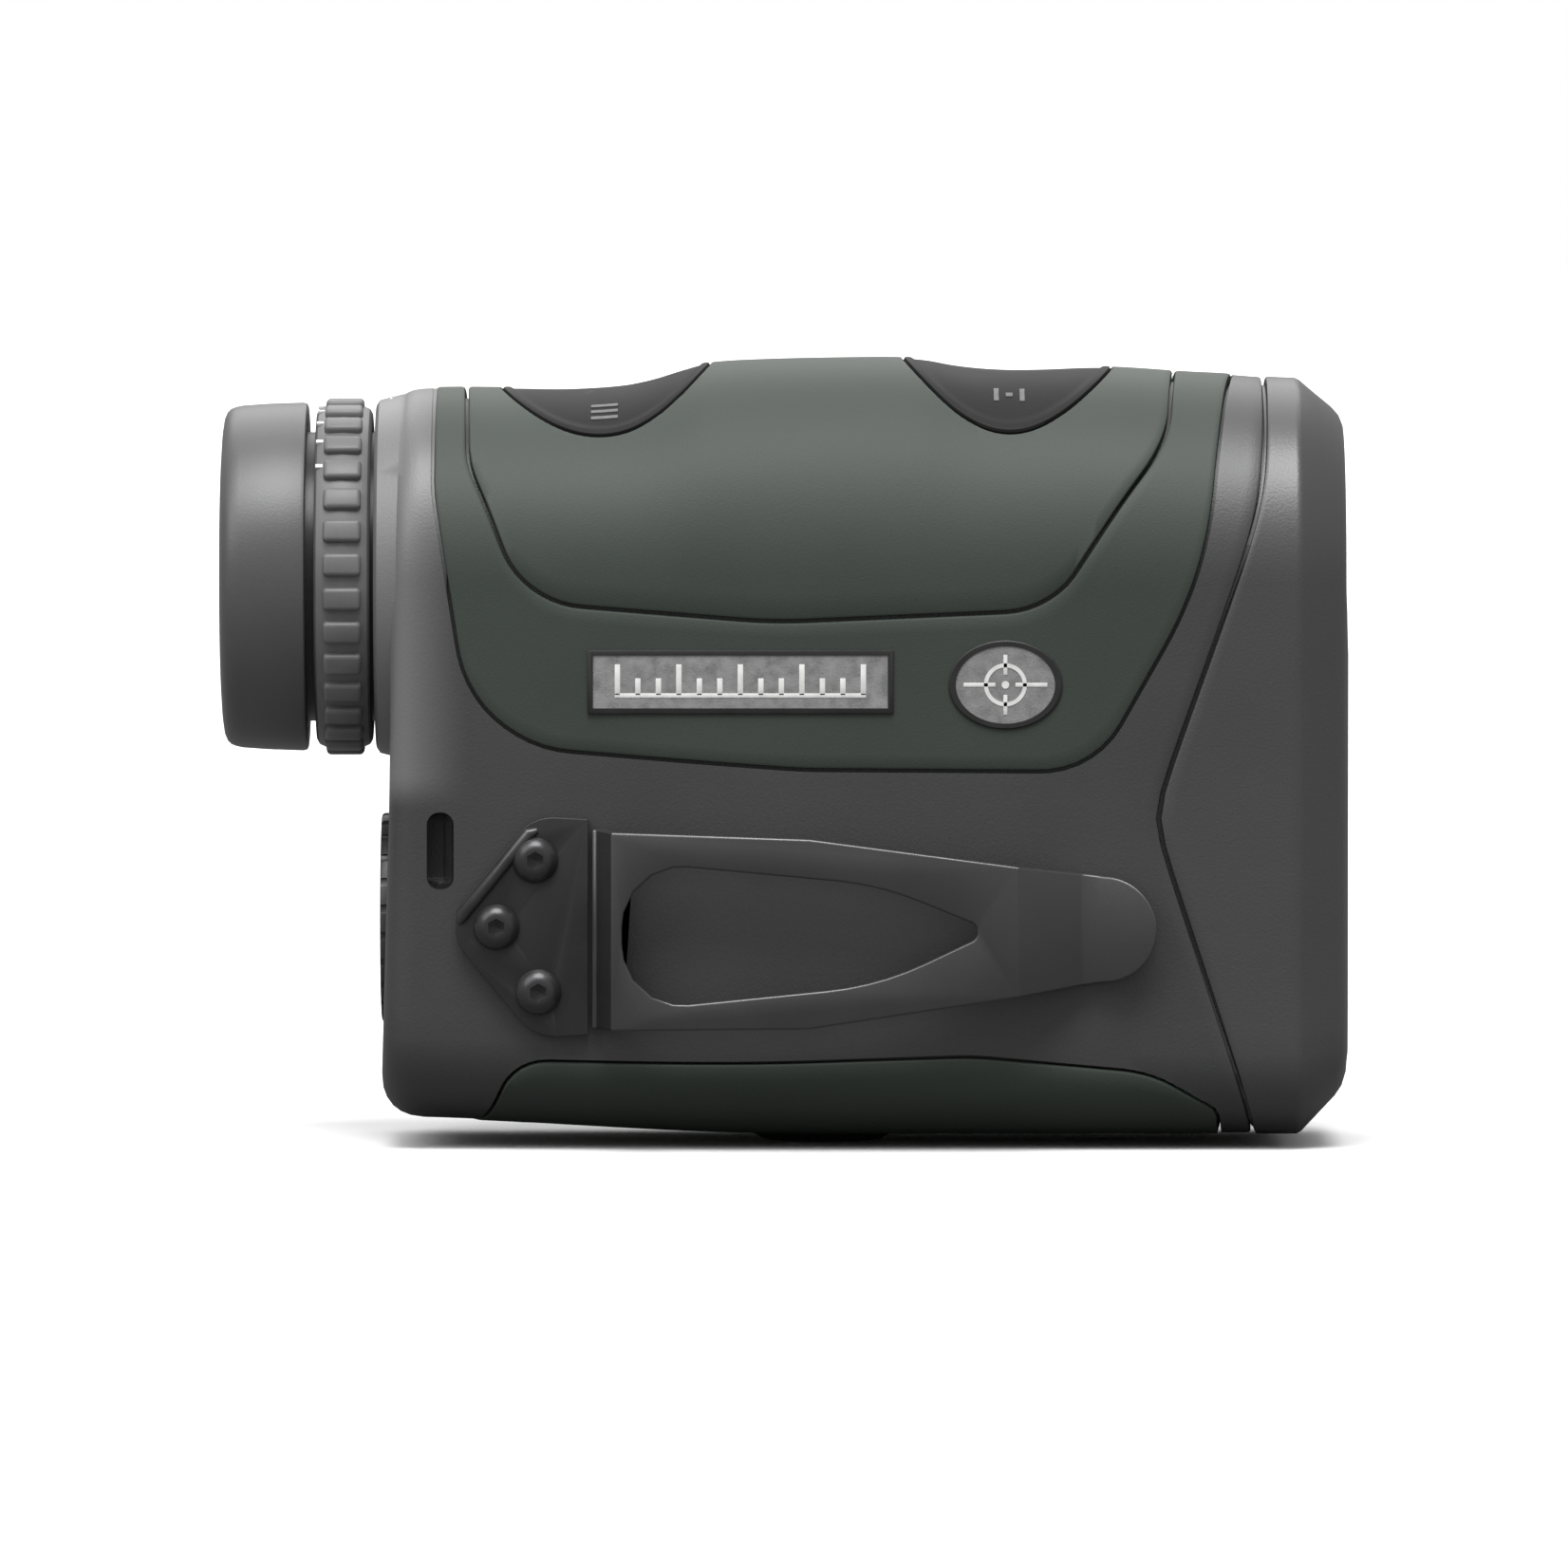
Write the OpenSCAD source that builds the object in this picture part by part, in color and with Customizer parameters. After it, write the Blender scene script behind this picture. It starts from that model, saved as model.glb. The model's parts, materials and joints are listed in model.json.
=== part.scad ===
// Hand-held laser rangefinder, vertical format, with a twist-up eyecup and a belt clip.
// Millimetres. +X points at the target, +Z is up, and the clip is on the -Y side.
// The origin is the middle of the tripod pad's underside.

/* [Housing] */
// Length of the housing from its rear wall to its front face
body_l = 97; // [85:1:120]
// Width of the housing across its flat sides
body_w = 40; // [36:1:50]
// Height from the tripod pad's underside to the top of the hump
body_h = 79.1; // [70:0.1:98]
// Distance from the rear wall to the tripod socket
pad_from_rear = 43.9; // [42:0.1:54]
// How far the hump stands above a round roof of the housing's width
hump_rise = 2.3; // [1:0.1:3]
// Thickness of the rubber armour
armour_t = 1.2; // [0.8:0.1:1.5]
// Thickness of the moulded housing wall under the armour
shell_t = 1.6; // [1.2:0.1:2]
// Width of the grooves and of the seam between the housing and the bezel
groove_w = 0.4; // [0.3:0.05:0.6]

/* [Eyepiece] */
// Outer radius of the eyepiece barrel
barrel_r = 14.6; // [12.5:0.1:15]
// Outer radius of the eyecup
eyecup_r = 17.6; // [17.4:0.1:19]
// Length of the eyecup
eyecup_l = 8.9; // [8.5:0.1:11]
// Outer radius of the dioptre ring over its ribs
dioptre_r = 18; // [17.4:0.1:19]
// Width of the dioptre ring
dioptre_w = 5.6; // [5:0.1:7]
// Number of ribs round the dioptre ring
dioptre_ribs = 32; // [20:1:40]

/* [Optics] */
// Outer radius of the objective cell
cell_r = 14.3; // [11.9:0.1:15]
// Outer radius of the laser tube
laser_r = 10.5; // [8.5:0.1:10.5]
// Thickness of the optical chassis plate
chassis_t = 2; // [1.5:0.1:2.5]

/* [Buttons] */
// Length of both buttons along the housing
button_l = 20.9; // [17:0.1:22]
// Width of the rear button across the roof
rear_button_w = 26; // [22.5:0.1:27]
// Width of the front button across the roof
front_button_w = 28; // [22.5:0.1:29]
// Distance from the rear wall to the middle of the rear button
rear_button_from_rear = 22.1; // [20:0.1:24]
// Distance from the front face to the middle of the front button
front_button_from_front = 34.4; // [32:0.1:37]
// Gap between a button and the edge of its hole
button_gap = 0.25; // [0.2:0.05:0.4]

/* [Battery] */
// Radius of the cell
battery_r = 7.8; // [6.5:0.1:7.8]
// Length of the cell
battery_l = 27; // [25:0.5:27]
// Radius of the battery cap
cap_r = 10.6; // [10.4:0.1:11]

/* [Clip] */
// Length of the clip's blade from its fold to its tip
blade_l = 56.8; // [46:0.1:60]
// Width of the clip's blade at its fold
blade_w = 20; // [17:0.1:21]
// Thickness of the clip's steel
clip_t = 1.2; // [1:0.1:1.4]
// Clear gap between the blade and the housing for a belt
belt_gap = 4.6; // [4.4:0.1:6]

/* [Tripod socket] */
// Wall radius of the 1/4 inch tripod thread
socket_r = 3.2; // [3.18:0.02:3.6]
// Depth of the tripod socket
socket_depth = 6.5; // [5:0.1:7]

/* [Hidden] */
$fn = 48;

half_w = body_w / 2;
axis_z = body_h - half_w - hump_rise;         // height of the optical axis
rear_x = -pad_from_rear;
front_x = body_l - pad_from_rear;
wall = armour_t + shell_t;
far = 300;                                    // reach of cutting solids past the part

// Housing outline
pad_r = 6.4;                                   // radius of the tripod pad's underside
pad_top_r = 8.1;
pad_h = 1.1;                                  // the pad stands this far below the floor
floor_z = pad_h;
rear_rise = 1.7;                              // the floor climbs this much towards the rear
rear_chamfer = 3.2;
front_chamfer = 5.8;
bezel_nose = 3.6;                             // radial drop of the bezel's front chamfer
floor_corner_r = 9;
collar_l = 6.1;
collar_rise = 1.1;                            // the collar starts this far behind the wall
collar_r = half_w - 2;                        // collar radius at its rear face
roof_rear_r = half_w - 0.8;
roof_front_r = half_w + 1.3;
roof_bezel_r = half_w + 0.1;
rear_button_x = rear_x + rear_button_from_rear;
front_button_x = front_x - front_button_from_front;

// Front face
front_wall = 3.6;
fit = 0.1;                                    // radial clearance of fixed tubes in bores
run_fit = 0.06;                               // radial clearance of turning and sliding fits
air = 0.3;                                    // gap between pieces that may not touch
lens_recess = 1.5;

// Levels inside the housing
shelf_top = axis_z - cell_r - 1.5;
shelf_z = shelf_top - chassis_t;
cavity_floor = floor_z + wall + rear_rise;
lower_z = (cavity_floor + shelf_z) / 2;       // axis of the battery and of the laser tube

// Eyepiece places along the axis
collar_x = rear_x - collar_rise;
ring_x = collar_x - groove_w - dioptre_w;     // rear face of the dioptre ring
cup_front_x = ring_x - 0.9;
cup_x = cup_front_x - eyecup_l;               // rearmost face of the eyecup
barrel_wall = 1.4;
barrel_in_r = barrel_r - barrel_wall;
barrel_end_x = cup_x + 2.9;
retainer_t = 0.8;
sleeve_wall = 0.7;
sleeve_r = barrel_r + run_fit + sleeve_wall;
core_in_r = sleeve_r + run_fit;
core_r = eyecup_r - 1.2;
cup_mouth_r = 12.2;
ocular_travel = 1;
ocular_r = barrel_in_r - run_fit;

// Buttons and their board
button_travel = 0.7;
button_skin = 0.15;                           // a button sits this far below the armour
button_t = 1.6;
stem_r = 2.5;
seal_t = 0.8;
board_t = 1;
roof_in_z = axis_z + roof_rear_r - wall;      // inside of the roof over the rear button
board_z = roof_in_z - 3.7;                    // underside of the button board
switch_top = board_z + board_t + 1.8;
stem_end_z = switch_top + button_travel + air;

// Prism box of the chassis
box_half_l = 16;
box_half_w = 11.2;
box_wall = 1.5;
prism_half_l = box_half_l - 2;
prism_half_h = board_z - 1.2 - axis_z;
prism_seat_z = axis_z - prism_half_h;
chassis_rear_x = rear_x + wall + 7;
switch_half_l = 4.3;                          // reach of the front switch towards the objective cell
cell_rear_x = max(box_half_l + 7, front_button_x + switch_half_l);
cradle_x = cell_rear_x + 4;
cradle_l = 6;
rail_w = 4;
rail_t = 4;
chassis_half_w = roof_rear_r - wall - air;
chassis_screw_y = chassis_half_w - 1.4;

// Battery
tube_in_r = battery_r + 0.4;
tube_r = tube_in_r + 1.2;
cap_proud = 0.6;
cap_recess = 1.8;
cap_disc_t = 1.2;
plug_l = 2;
battery_x = rear_x + cap_disc_t + plug_l + 0.5;
spring_l = 4.7;
tube_end_x = battery_x + battery_l + spring_l;
spring_wire_r = 0.4;

// Circuit board on the +Y wall
main_board_y = half_w - wall - 3.8;           // outer face of the board
main_board_t = 1.2;
main_board_z = [lower_z - 12.5, min(lower_z + 12.5, shelf_z - rail_t - 0.2)];
main_board_x = [rear_x + 12, front_x - 23];
board_screw_r = 1;
board_screw_in = 3;                           // from the board's edges to its screws

// Clip
clip_z = lower_z - 0.1;
fold_x = rear_x + 20.5;
clip_face_y = half_w;                         // the clip's seat on the -Y side
fold_gap = 0.35;
tip_r = 5.3;
tip_gap = 1.1;                                // middle of the bent tip's steel from the housing
clip_screw_r = 1.25;
clip_screw_head_r = 2.2;
clip_screws_xz = [[fold_x - 5.3, clip_z + 6.9], [fold_x - 9.2, clip_z + 0.2],
    [fold_x - 5, clip_z - 6.3]];

// Colours
charcoal = [0.27, 0.27, 0.27];
green = [0.29, 0.33, 0.29];
rubber = [0.16, 0.16, 0.165];
steel = [0.22, 0.22, 0.23];
anodised = [0.12, 0.12, 0.13];
glass = [0.55, 0.62, 0.72];
board_green = [0.1, 0.35, 0.2];
bright = [0.75, 0.75, 0.76];
brass = [0.75, 0.6, 0.3];

// An outline is a list of corners [x, y, radius], in anticlockwise order
function unit(v) = v / norm(v);
function wrap(list, i) = list[(i + len(list)) % len(list)];
function xy(c) = [c[0], c[1]];

// Points that round the corner b between the points a and c
function corner_arc(a, b, c, r, steps) =
    r <= 0 ? [b] :
    let (u = unit(a - b), v = unit(c - b), half = acos(u * v) / 2,
        p = b + u * r / tan(half), q = b + v * r / tan(half),
        m = b + unit(u + v) * r / sin(half))
    [for (i = [0:steps]) m + r * unit((p - m) * (steps - i) + (q - m) * i)];

function rounded(corners, steps = 5) =
    [for (i = [0:len(corners) - 1])
        each corner_arc(xy(wrap(corners, i - 1)), xy(corners[i]), xy(wrap(corners, i + 1)),
            corners[i][2], steps)];

// The outline moved inwards by d, its round corners keeping their centres
function inset(corners, d) =
    [for (i = [0:len(corners) - 1])
        let (b = xy(corners[i]), e = unit(b - xy(wrap(corners, i - 1))),
            f = unit(xy(wrap(corners, i + 1)) - b), turn = e.x * f.y - e.y * f.x,
            s = ([-e.y, e.x] + [-f.y, f.x]) * d / (1 + e * f), r = corners[i][2])
        [b.x + s.x, b.y + s.y, r == 0 ? 0 : max(r - sign(turn) * d, 0)]];

// A strip of thickness t along a bent line, seen edge on
function strip(line, t) =
    let (n = len(line) - 1,
        side = [for (i = [0:n])
            let (e = unit(line[max(i, 1)] - line[max(i, 1) - 1]),
                f = unit(line[min(i, n - 1) + 1] - line[min(i, n - 1)]))
            ([-e.y, e.x] + [-f.y, f.x]) / (1 + e * f) * t / 2])
    concat([for (i = [0:n]) line[i] - side[i]], [for (i = [n:-1:0]) line[i] + side[i]]);

function oval(a, b, steps = 32) =
    [for (i = [0:steps - 1]) [a * cos(360 * i / steps), b * sin(360 * i / steps)]];

// Placing: side views, front views and round pieces along the axis
module across(y0 = -far, y1 = far)
    translate([0, y1, 0]) rotate([90, 0, 0]) linear_extrude(y1 - y0) children();
module along(x0 = -far, x1 = far)
    translate([x0, 0, 0]) rotate([90, 0, 90]) linear_extrude(x1 - x0) children();
module on_axis(x, z = axis_z) translate([x, 0, z]) rotate([0, 90, 0]) children();
module rod(x0, x1, r, z = axis_z) on_axis(x0, z) cylinder(h = x1 - x0, r = r);
module tube(x0, x1, r, r_in, z = axis_z) difference() {
    rod(x0, x1, r, z);
    rod(x0 - 1, x1 + 1, r_in, z);
}
module block(x, y, z) translate([x[0], y[0], z[0]]) cube([x[1] - x[0], y[1] - y[0], z[1] - z[0]]);
module outline(corners, d = 0, steps = 5) polygon(rounded(inset(corners, d), steps));

// Plan outline of one side, from the rear to the front; its radius about the axis is the roof
side_line = [
    [rear_x, roof_rear_r, 3],
    [rear_button_x + 2, roof_rear_r + 0.4, 15],
    [rear_button_x + 10.2, half_w + hump_rise - 0.5, 15],
    [front_button_x - 8.5, half_w + hump_rise, 12],
    [front_button_x - 4.2, roof_front_r + 0.1, 8],
    [front_button_x + 11.5, roof_front_r, 0],
    [front_x - 16, roof_bezel_r + 0.6, 0],
    [front_x - front_chamfer, roof_bezel_r, 2],
    [front_x - 0.8, roof_bezel_r - bezel_nose, 1],
    [front_x, roof_bezel_r - bezel_nose - 6, 0]];
plan_corners = concat(
    [for (c = side_line) [c[0], -c[1], c[2]]],
    [for (i = [len(side_line) - 1:-1:0]) side_line[i]]);
section_corners = [[-half_w, far, 0], [-half_w, floor_z - 0.5, floor_corner_r],
    [half_w, floor_z - 0.5, floor_corner_r], [half_w, far, 0]];
floor_corners = [
    [rear_x - 12, floor_z + rear_rise + rear_chamfer + 12, 0],
    [rear_x + rear_chamfer, floor_z + rear_rise, 1],
    [0, floor_z, 0],
    [front_x - 7.3, floor_z, 1],
    [front_x + 12, floor_z + 0.57 * 19.3, 0],
    [front_x + 12, far, 0],
    [rear_x - 12, far, 0]];

// The housing's outer shape, moved inwards by d
module body_form(d = 0) {
    plan = rounded(inset(plan_corners, d), 3);
    intersection() {
        union() {
            on_axis(0) rotate([0, 0, 90]) rotate_extrude(angle = 180)
                polygon(concat([[0, rear_x + d]],
                    [for (i = [len(plan) - 1:-1:0]) if (plan[i].y > 0) [plan[i].y, plan[i].x]],
                    [[0, front_x - d]]));
            linear_extrude(axis_z) polygon(plan);
        }
        along(rear_x - 5, front_x + 5) outline(section_corners, d);
        across(-half_w - 5, half_w + 5) outline(floor_corners, d);
    }
}

// Everything behind the seam between the housing and the bezel
behind_seam = [[-far, far, 0], [-far, -far, 0], [front_x - 8, -far, 0], [front_x - 8, -3, 0],
    [front_x - 20.7, axis_z - 23.5, 8], [front_x - 8.5, axis_z + 9, 35], [front_x - 8.5, far, 0]];
module housing_side(d = 0) across() outline(behind_seam, d, 7);

// Side views of the armour; the upper pieces run over the roof
band_corners = [[rear_x + 5, far, 0], [rear_x + 5, axis_z + 9, 30], [rear_x + 9, axis_z - 16, 12],
    [rear_x + 42, axis_z - 18.6, 60], [front_x - 26, axis_z - 18.8, 9],
    [front_x - 14.8, axis_z + 1, 40], [front_x - 11.8, far, 0]];
panel_corners = [[rear_x + 8.2, far, 0], [rear_x + 8.5, axis_z + 12, 15], [rear_x + 14, axis_z - 1.8, 9],
    [rear_x + 39, axis_z - 3.8, 60], [front_x - 30.4, axis_z - 2.6, 9],
    [front_x - 18.6, axis_z + 15, 14], [front_x - 17.7, far, 0]];
lower_corners = [[rear_x + 5.4, -5, 0], [front_x - 12.8, -5, 0], [front_x - 13.6, floor_z + 2, 2],
    [front_x - 20, floor_z + 6.4, 12], [front_x - 38, floor_z + 8.1, 30], [rear_x + 13, floor_z + 7.7, 5]];

plate_x = [rear_x + 20.3, rear_x + 51.1];
plate_z = [axis_z - 13.2, axis_z - 6.6];
badge_xz = [front_x - 34.8, axis_z - 10.2];
badge_size = [11.6, 9.1];
label_seat = 0.9;                             // depth of the plate's and the badge's pockets
label_proud = 0.25;

module skin() difference() {
    body_form();
    body_form(armour_t);
}
module plate_prism(d, y0, y1) across(y0, y1) translate([plate_x[0] + d, plate_z[0] + d])
    square([plate_x[1] - plate_x[0] - 2 * d, plate_z[1] - plate_z[0] - 2 * d]);
module badge_prism(d, y0, y1) across(y0, y1) translate(badge_xz)
    polygon(oval(badge_size.x / 2 - d, badge_size.y / 2 - d));
module label_pockets() {
    plate_prism(0, -far, -half_w + label_seat);
    badge_prism(0, -far, -half_w + label_seat);
}
module button_prism(x, w, d = 0)
    translate([x, 0, axis_z]) linear_extrude(far) polygon(oval(button_l / 2 + d, w / 2 + d));
module button_holes() {
    button_prism(rear_button_x, rear_button_w, button_gap);
    button_prism(front_button_x, front_button_w, button_gap);
}

// Housing and bezel
lanyard_z = [lower_z + 3.7, lower_z + 11.5];
lanyard_x = [rear_x + 4.3, rear_x + 7];
module lanyard_tunnel() {
    block([lanyard_x[0], lanyard_x[1]], [-half_w - 1, -half_w + 6], lanyard_z);
    block([rear_x - 1, lanyard_x[1]], [-half_w + 3.4, -half_w + 6], lanyard_z);
}
module clip_screw_places() for (p = clip_screws_xz)
    translate([p[0], -clip_face_y, p[1]]) rotate([-90, 0, 0]) children();
module chassis_screw_places() for (x = [chassis_rear_x + 4, cradle_x - 3], s = [-1, 1])
    translate([x, s * chassis_screw_y, shelf_top]) children();
module board_screw_places()
    for (x = [main_board_x[0] + board_screw_in, main_board_x[1] - board_screw_in])
    for (z = [main_board_z[0] + board_screw_in, main_board_z[1] - board_screw_in])
    translate([x, main_board_y, z]) rotate([-90, 0, 0]) children();

module root_plate(grow = 0) polygon(rounded([
    [fold_x, clip_z + 11 + grow, 0], [fold_x - 5.6, clip_z + 11.3 + grow, 4.4],
    [fold_x - 14.6 - grow, clip_z + 0.2, 4.4], [fold_x - 5.4, clip_z - 10.9 - grow, 4.4],
    [fold_x, clip_z - 10.6 - grow, 0]]));

module main_housing() color(charcoal) {
    difference() {
        union() {
            intersection() {
                union() {
                    body_form(armour_t);
                    difference() {
                        body_form();
                        across() outline(band_corners);
                        across() outline(lower_corners);
                    }
                }
                housing_side(groove_w / 2);
            }
            on_axis(collar_x) cylinder(h = collar_l, r1 = collar_r, r2 = roof_rear_r);
            cylinder(h = floor_z + wall, r1 = pad_r, r2 = pad_top_r);
            across(-clip_face_y, -half_w + wall) root_plate(0.8);
        }
        intersection() {
            body_form(wall);
            housing_side();
        }
        rod(collar_x - 1, rear_x + wall + 1, barrel_r + fit);
        button_holes();
        rod(rear_x - 1, rear_x + cap_recess, cap_r + fit, lower_z);
        rod(rear_x, rear_x + wall + 1, tube_r + fit, lower_z);
        cylinder(h = far, r = 5, center = true);
        lanyard_tunnel();
        clip_screw_places() cylinder(h = 5, r = clip_screw_r);
    }
    difference() {
        intersection() {
            body_form(wall / 2);
            union() {
                for (turn = [0, 180]) rotate([turn, 0, 0])
                    block([rear_x + 4, main_board_x[1]], [half_w - wall - rail_w, half_w - 1],
                        turn == 0 ? [shelf_z - rail_t, shelf_z] : [-shelf_z, rail_t - shelf_z]);
                block([rear_x + 1, lanyard_x[1] + shell_t], [-half_w, -half_w + 7.5],
                    [lanyard_z[0] - shell_t, lanyard_z[1] + shell_t]);
                across(-half_w, -half_w + 5) root_plate(0);
                board_screw_places() cylinder(h = 3.8 + wall / 2, r = 2.2);
            }
        }
        chassis_screw_places() cylinder(h = 2 * (chassis_t + 3.2), r = board_screw_r, center = true);
        lanyard_tunnel();
        clip_screw_places() cylinder(h = 4, r = clip_screw_r);
        board_screw_places() cylinder(h = 3, r = board_screw_r);
    }
    difference() {
        translate([0, 0, floor_z + wall - 0.5]) cylinder(h = socket_depth + 3 - floor_z - wall, r = 7.5);
        cylinder(h = 2 * (socket_depth + 1.5), r = 5, center = true);
    }
}

module front_bezel() color(charcoal) difference() {
    body_form();
    housing_side(-groove_w / 2);
    intersection() {
        body_form(wall);
        along(-far, front_x - front_wall) square(2 * far, center = true);
    }
    rod(0, far, cell_r + fit);
    rod(0, far, laser_r + fit, lower_z);
    on_axis(front_x - lens_recess) cylinder(h = 2 * lens_recess, r1 = cell_r + fit, r2 = cell_r + fit + 2.4);
    on_axis(front_x - lens_recess, lower_z)
        cylinder(h = 2 * lens_recess, r1 = laser_r + fit, r2 = laser_r + fit + 2);
}

module bezel_gasket() color(rubber) difference() {
    intersection() {
        body_form(0.9);
        housing_side(-groove_w / 2);
    }
    housing_side(groove_w / 2);
    body_form(wall - 0.4);
}

// Armour, plate and badge
module upper_armour() color(green) difference() {
    intersection() {
        skin();
        across() outline(band_corners);
    }
    across() outline(panel_corners, -groove_w);
    label_pockets();
}
module top_panel() color(green) difference() {
    intersection() {
        skin();
        across() outline(panel_corners);
    }
    button_holes();
}
module lower_armour() color(green) difference() {
    intersection() {
        skin();
        across() outline(lower_corners);
    }
    cylinder(h = 2 * wall, r = 8.2, center = true);
}
module nameplate() color(anodised) difference() {
    plate_prism(0.1, -half_w - label_proud, -half_w + label_seat);
    plate_prism(0.7, -far, -half_w - label_proud + 0.2);
}
module oval_badge() color(anodised) difference() {
    badge_prism(0.1, -half_w - label_proud, -half_w + label_seat);
    badge_prism(0.7, -far, -half_w - label_proud + 0.2);
}

// Buttons
module button(x, w, r) {
    intersection() {
        difference() {
            body_form(button_skin);
            body_form(button_skin + button_t);
        }
        button_prism(x, w);
    }
    translate([x, 0, stem_end_z])
        cylinder(h = axis_z + r - button_skin - button_t / 2 - stem_end_z, r = stem_r);
}
module rear_button() color(charcoal) button(rear_button_x, rear_button_w, roof_rear_r + 0.3);
module front_button() color(charcoal) button(front_button_x, front_button_w, roof_front_r);
module button_seals() color(rubber) difference() {
    body_form(wall);
    body_form(wall + seal_t);
    difference() {
        block([-far, far], [-far, far], [-far, far]);
        button_prism(rear_button_x, rear_button_w, 1);
        button_prism(front_button_x, front_button_w, 1);
    }
    for (x = [rear_button_x, front_button_x]) translate([x, 0, axis_z]) cylinder(h = far, r = stem_r + 0.4);
}
module button_board() color(board_green)
    block([chassis_rear_x - 1, cell_rear_x - 0.4], [-7, 7], [board_z, board_z + board_t]);
module button_switches() color(anodised) for (x = [rear_button_x, front_button_x]) {
    translate([x, 0, board_z + board_t + 0.75]) cube([6, 6, 1.5], center = true);
    translate([x, 0, board_z + board_t + 1]) cylinder(h = 0.8, r = 1.6);
}
ribbon_y = main_board_y - main_board_t - 0.15;
ribbon_x = [chassis_rear_x + 8.5, chassis_rear_x + 13.5];
module ribbon_cable() color("darkorange") along(ribbon_x[0], ribbon_x[1]) polygon(strip([
    [ribbon_y, main_board_z[1] - 5], [ribbon_y, axis_z + 4],
    [8.2, board_z - 0.8], [5, board_z - 0.15]], 0.3));

// Eyepiece, from the barrel outwards
module eyepiece_barrel() color(anodised) difference() {
    union() {
        rod(barrel_end_x, rear_x + wall + 0.5, barrel_r);
        rod(rear_x + wall, rear_x + wall + 1.8, barrel_r + 1.3);
    }
    rod(cup_x, 0, barrel_in_r);
    translate([ring_x + dioptre_w / 2, 0, axis_z])
        cube([2.8 + 2 * ocular_travel, 2.8, 2 * barrel_r + 2], center = true);
}
module barrel_retainer() color(steel)
    tube(barrel_end_x - retainer_t, barrel_end_x, sleeve_r, barrel_in_r + 0.3);
module dioptre_ring() color(rubber) {
    ring_r = dioptre_r - 0.8;
    difference() {
        union() {
            rod(ring_x, ring_x + dioptre_w, ring_r);
            for (i = [0:dioptre_ribs - 1]) on_axis(ring_x + 0.7) rotate(360 * i / dioptre_ribs)
                translate([ring_r - 0.5, -1.15, 0]) cube([1.3, 2.3, dioptre_w - 1.4]);
        }
        rod(ring_x - 1, ring_x + dioptre_w + 1, barrel_r + run_fit);
        rod(ring_x + dioptre_w / 2 - 1.9, ring_x + dioptre_w / 2 + 1.9, barrel_r + 1.5);
    }
}
module dioptre_pin() color(bright) translate([ring_x + dioptre_w / 2, 0, axis_z + ocular_r - 1])
    cylinder(h = barrel_wall + 2.1, r = 0.8);
module ocular_cell() color(anodised) difference() {
    rod(barrel_end_x + 0.4, rear_x + wall - 1, ocular_r);
    rod(barrel_end_x - 1, rear_x + 10, ocular_r - 1.8);
    translate([ring_x + dioptre_w / 2, 0, axis_z]) cylinder(h = 2 * barrel_r, r = 0.8);
}
// A lens of radius r between x0 and x1, with faces bulging by b
module lens(x0, x1, r, b, z = axis_z) {
    steps = 8;
    face = [for (i = [0:steps]) [r * i / steps, b * pow(i / steps, 2)]];
    color(glass) on_axis(0, z) rotate_extrude() polygon(concat([for (p = face) [p.x, x0 + p.y]],
        [for (i = [steps:-1:0]) [face[i].x, x1 - face[i].y]]));
}
module eye_lens() lens(barrel_end_x + 1.2, barrel_end_x + 6.2, ocular_r - 1.8, 1.4);
module field_lens() lens(rear_x - 3, rear_x + 0.5, ocular_r - 1.8, 1);
module eyecup_sleeve() color(steel) tube(barrel_end_x + 0.1, cup_front_x, sleeve_r, barrel_r + run_fit);
module eyecup_core() color(anodised) difference() {
    rod(cup_x + 0.8, cup_front_x, core_r);
    rod(cup_x + 1.8, cup_front_x + 1, core_in_r);
    rod(cup_x, cup_front_x, cup_mouth_r);
}
module eyecup_rubber() color(rubber) on_axis(0) rotate_extrude() polygon(rounded([
    [cup_mouth_r, cup_x, 0.5], [eyecup_r - 0.9, cup_x, 2], [eyecup_r, cup_x + 2.4, 3],
    [eyecup_r, cup_front_x, 0.3], [core_r, cup_front_x, 0], [core_r, cup_x + 0.8, 0],
    [cup_mouth_r, cup_x + 0.8, 0]]));

// Chassis and what it carries
module optical_chassis() color(anodised) {
    difference() {
        union() {
            block([chassis_rear_x, cradle_x + cradle_l], [-chassis_half_w, chassis_half_w],
                [shelf_z, shelf_top]);
            rod(cradle_x, cradle_x + cradle_l, cell_r + 1.5);
            block([cradle_x, cradle_x + cradle_l], [-10, 10], [shelf_z, axis_z - 10]);
        }
        rod(0, far, cell_r + fit);
        block([ribbon_x[0] - 1, ribbon_x[1] + 1], [ribbon_y - 0.8, far], [0, far]);
        chassis_screw_places() cylinder(h = 3 * chassis_t, r = board_screw_r + 0.1, center = true);
        block([0, far], [-far, far], [axis_z + 8, far]);
    }
    difference() {
        union() {
            for (s = [-1, 1]) translate([0, s * (box_half_w - box_wall / 2), 0])
                block([-box_half_l, box_half_l], [-box_wall / 2, box_wall / 2], [shelf_z + 0.5, board_z]);
            block([-box_half_l, box_half_l], [-box_half_w + 1, box_half_w - 1],
                [shelf_z + 0.5, prism_seat_z]);
            for (s = [-1, 1]) translate([s * (box_half_l - 0.75), 0, 0])
                block([-0.75, 0.75], [-box_half_w + 1, box_half_w - 1], [board_z - 2, board_z]);
        }
        block([-6, 4], [box_half_w - 2 * box_wall, far], [axis_z - 5, axis_z + 5]);
    }
}
module chassis_screws() color(bright) chassis_screw_places() {
    cylinder(h = 1, r = 1.5);
    translate([0, 0, -chassis_t - 3]) cylinder(h = chassis_t + 3.2, r = board_screw_r - 0.05);
}
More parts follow.
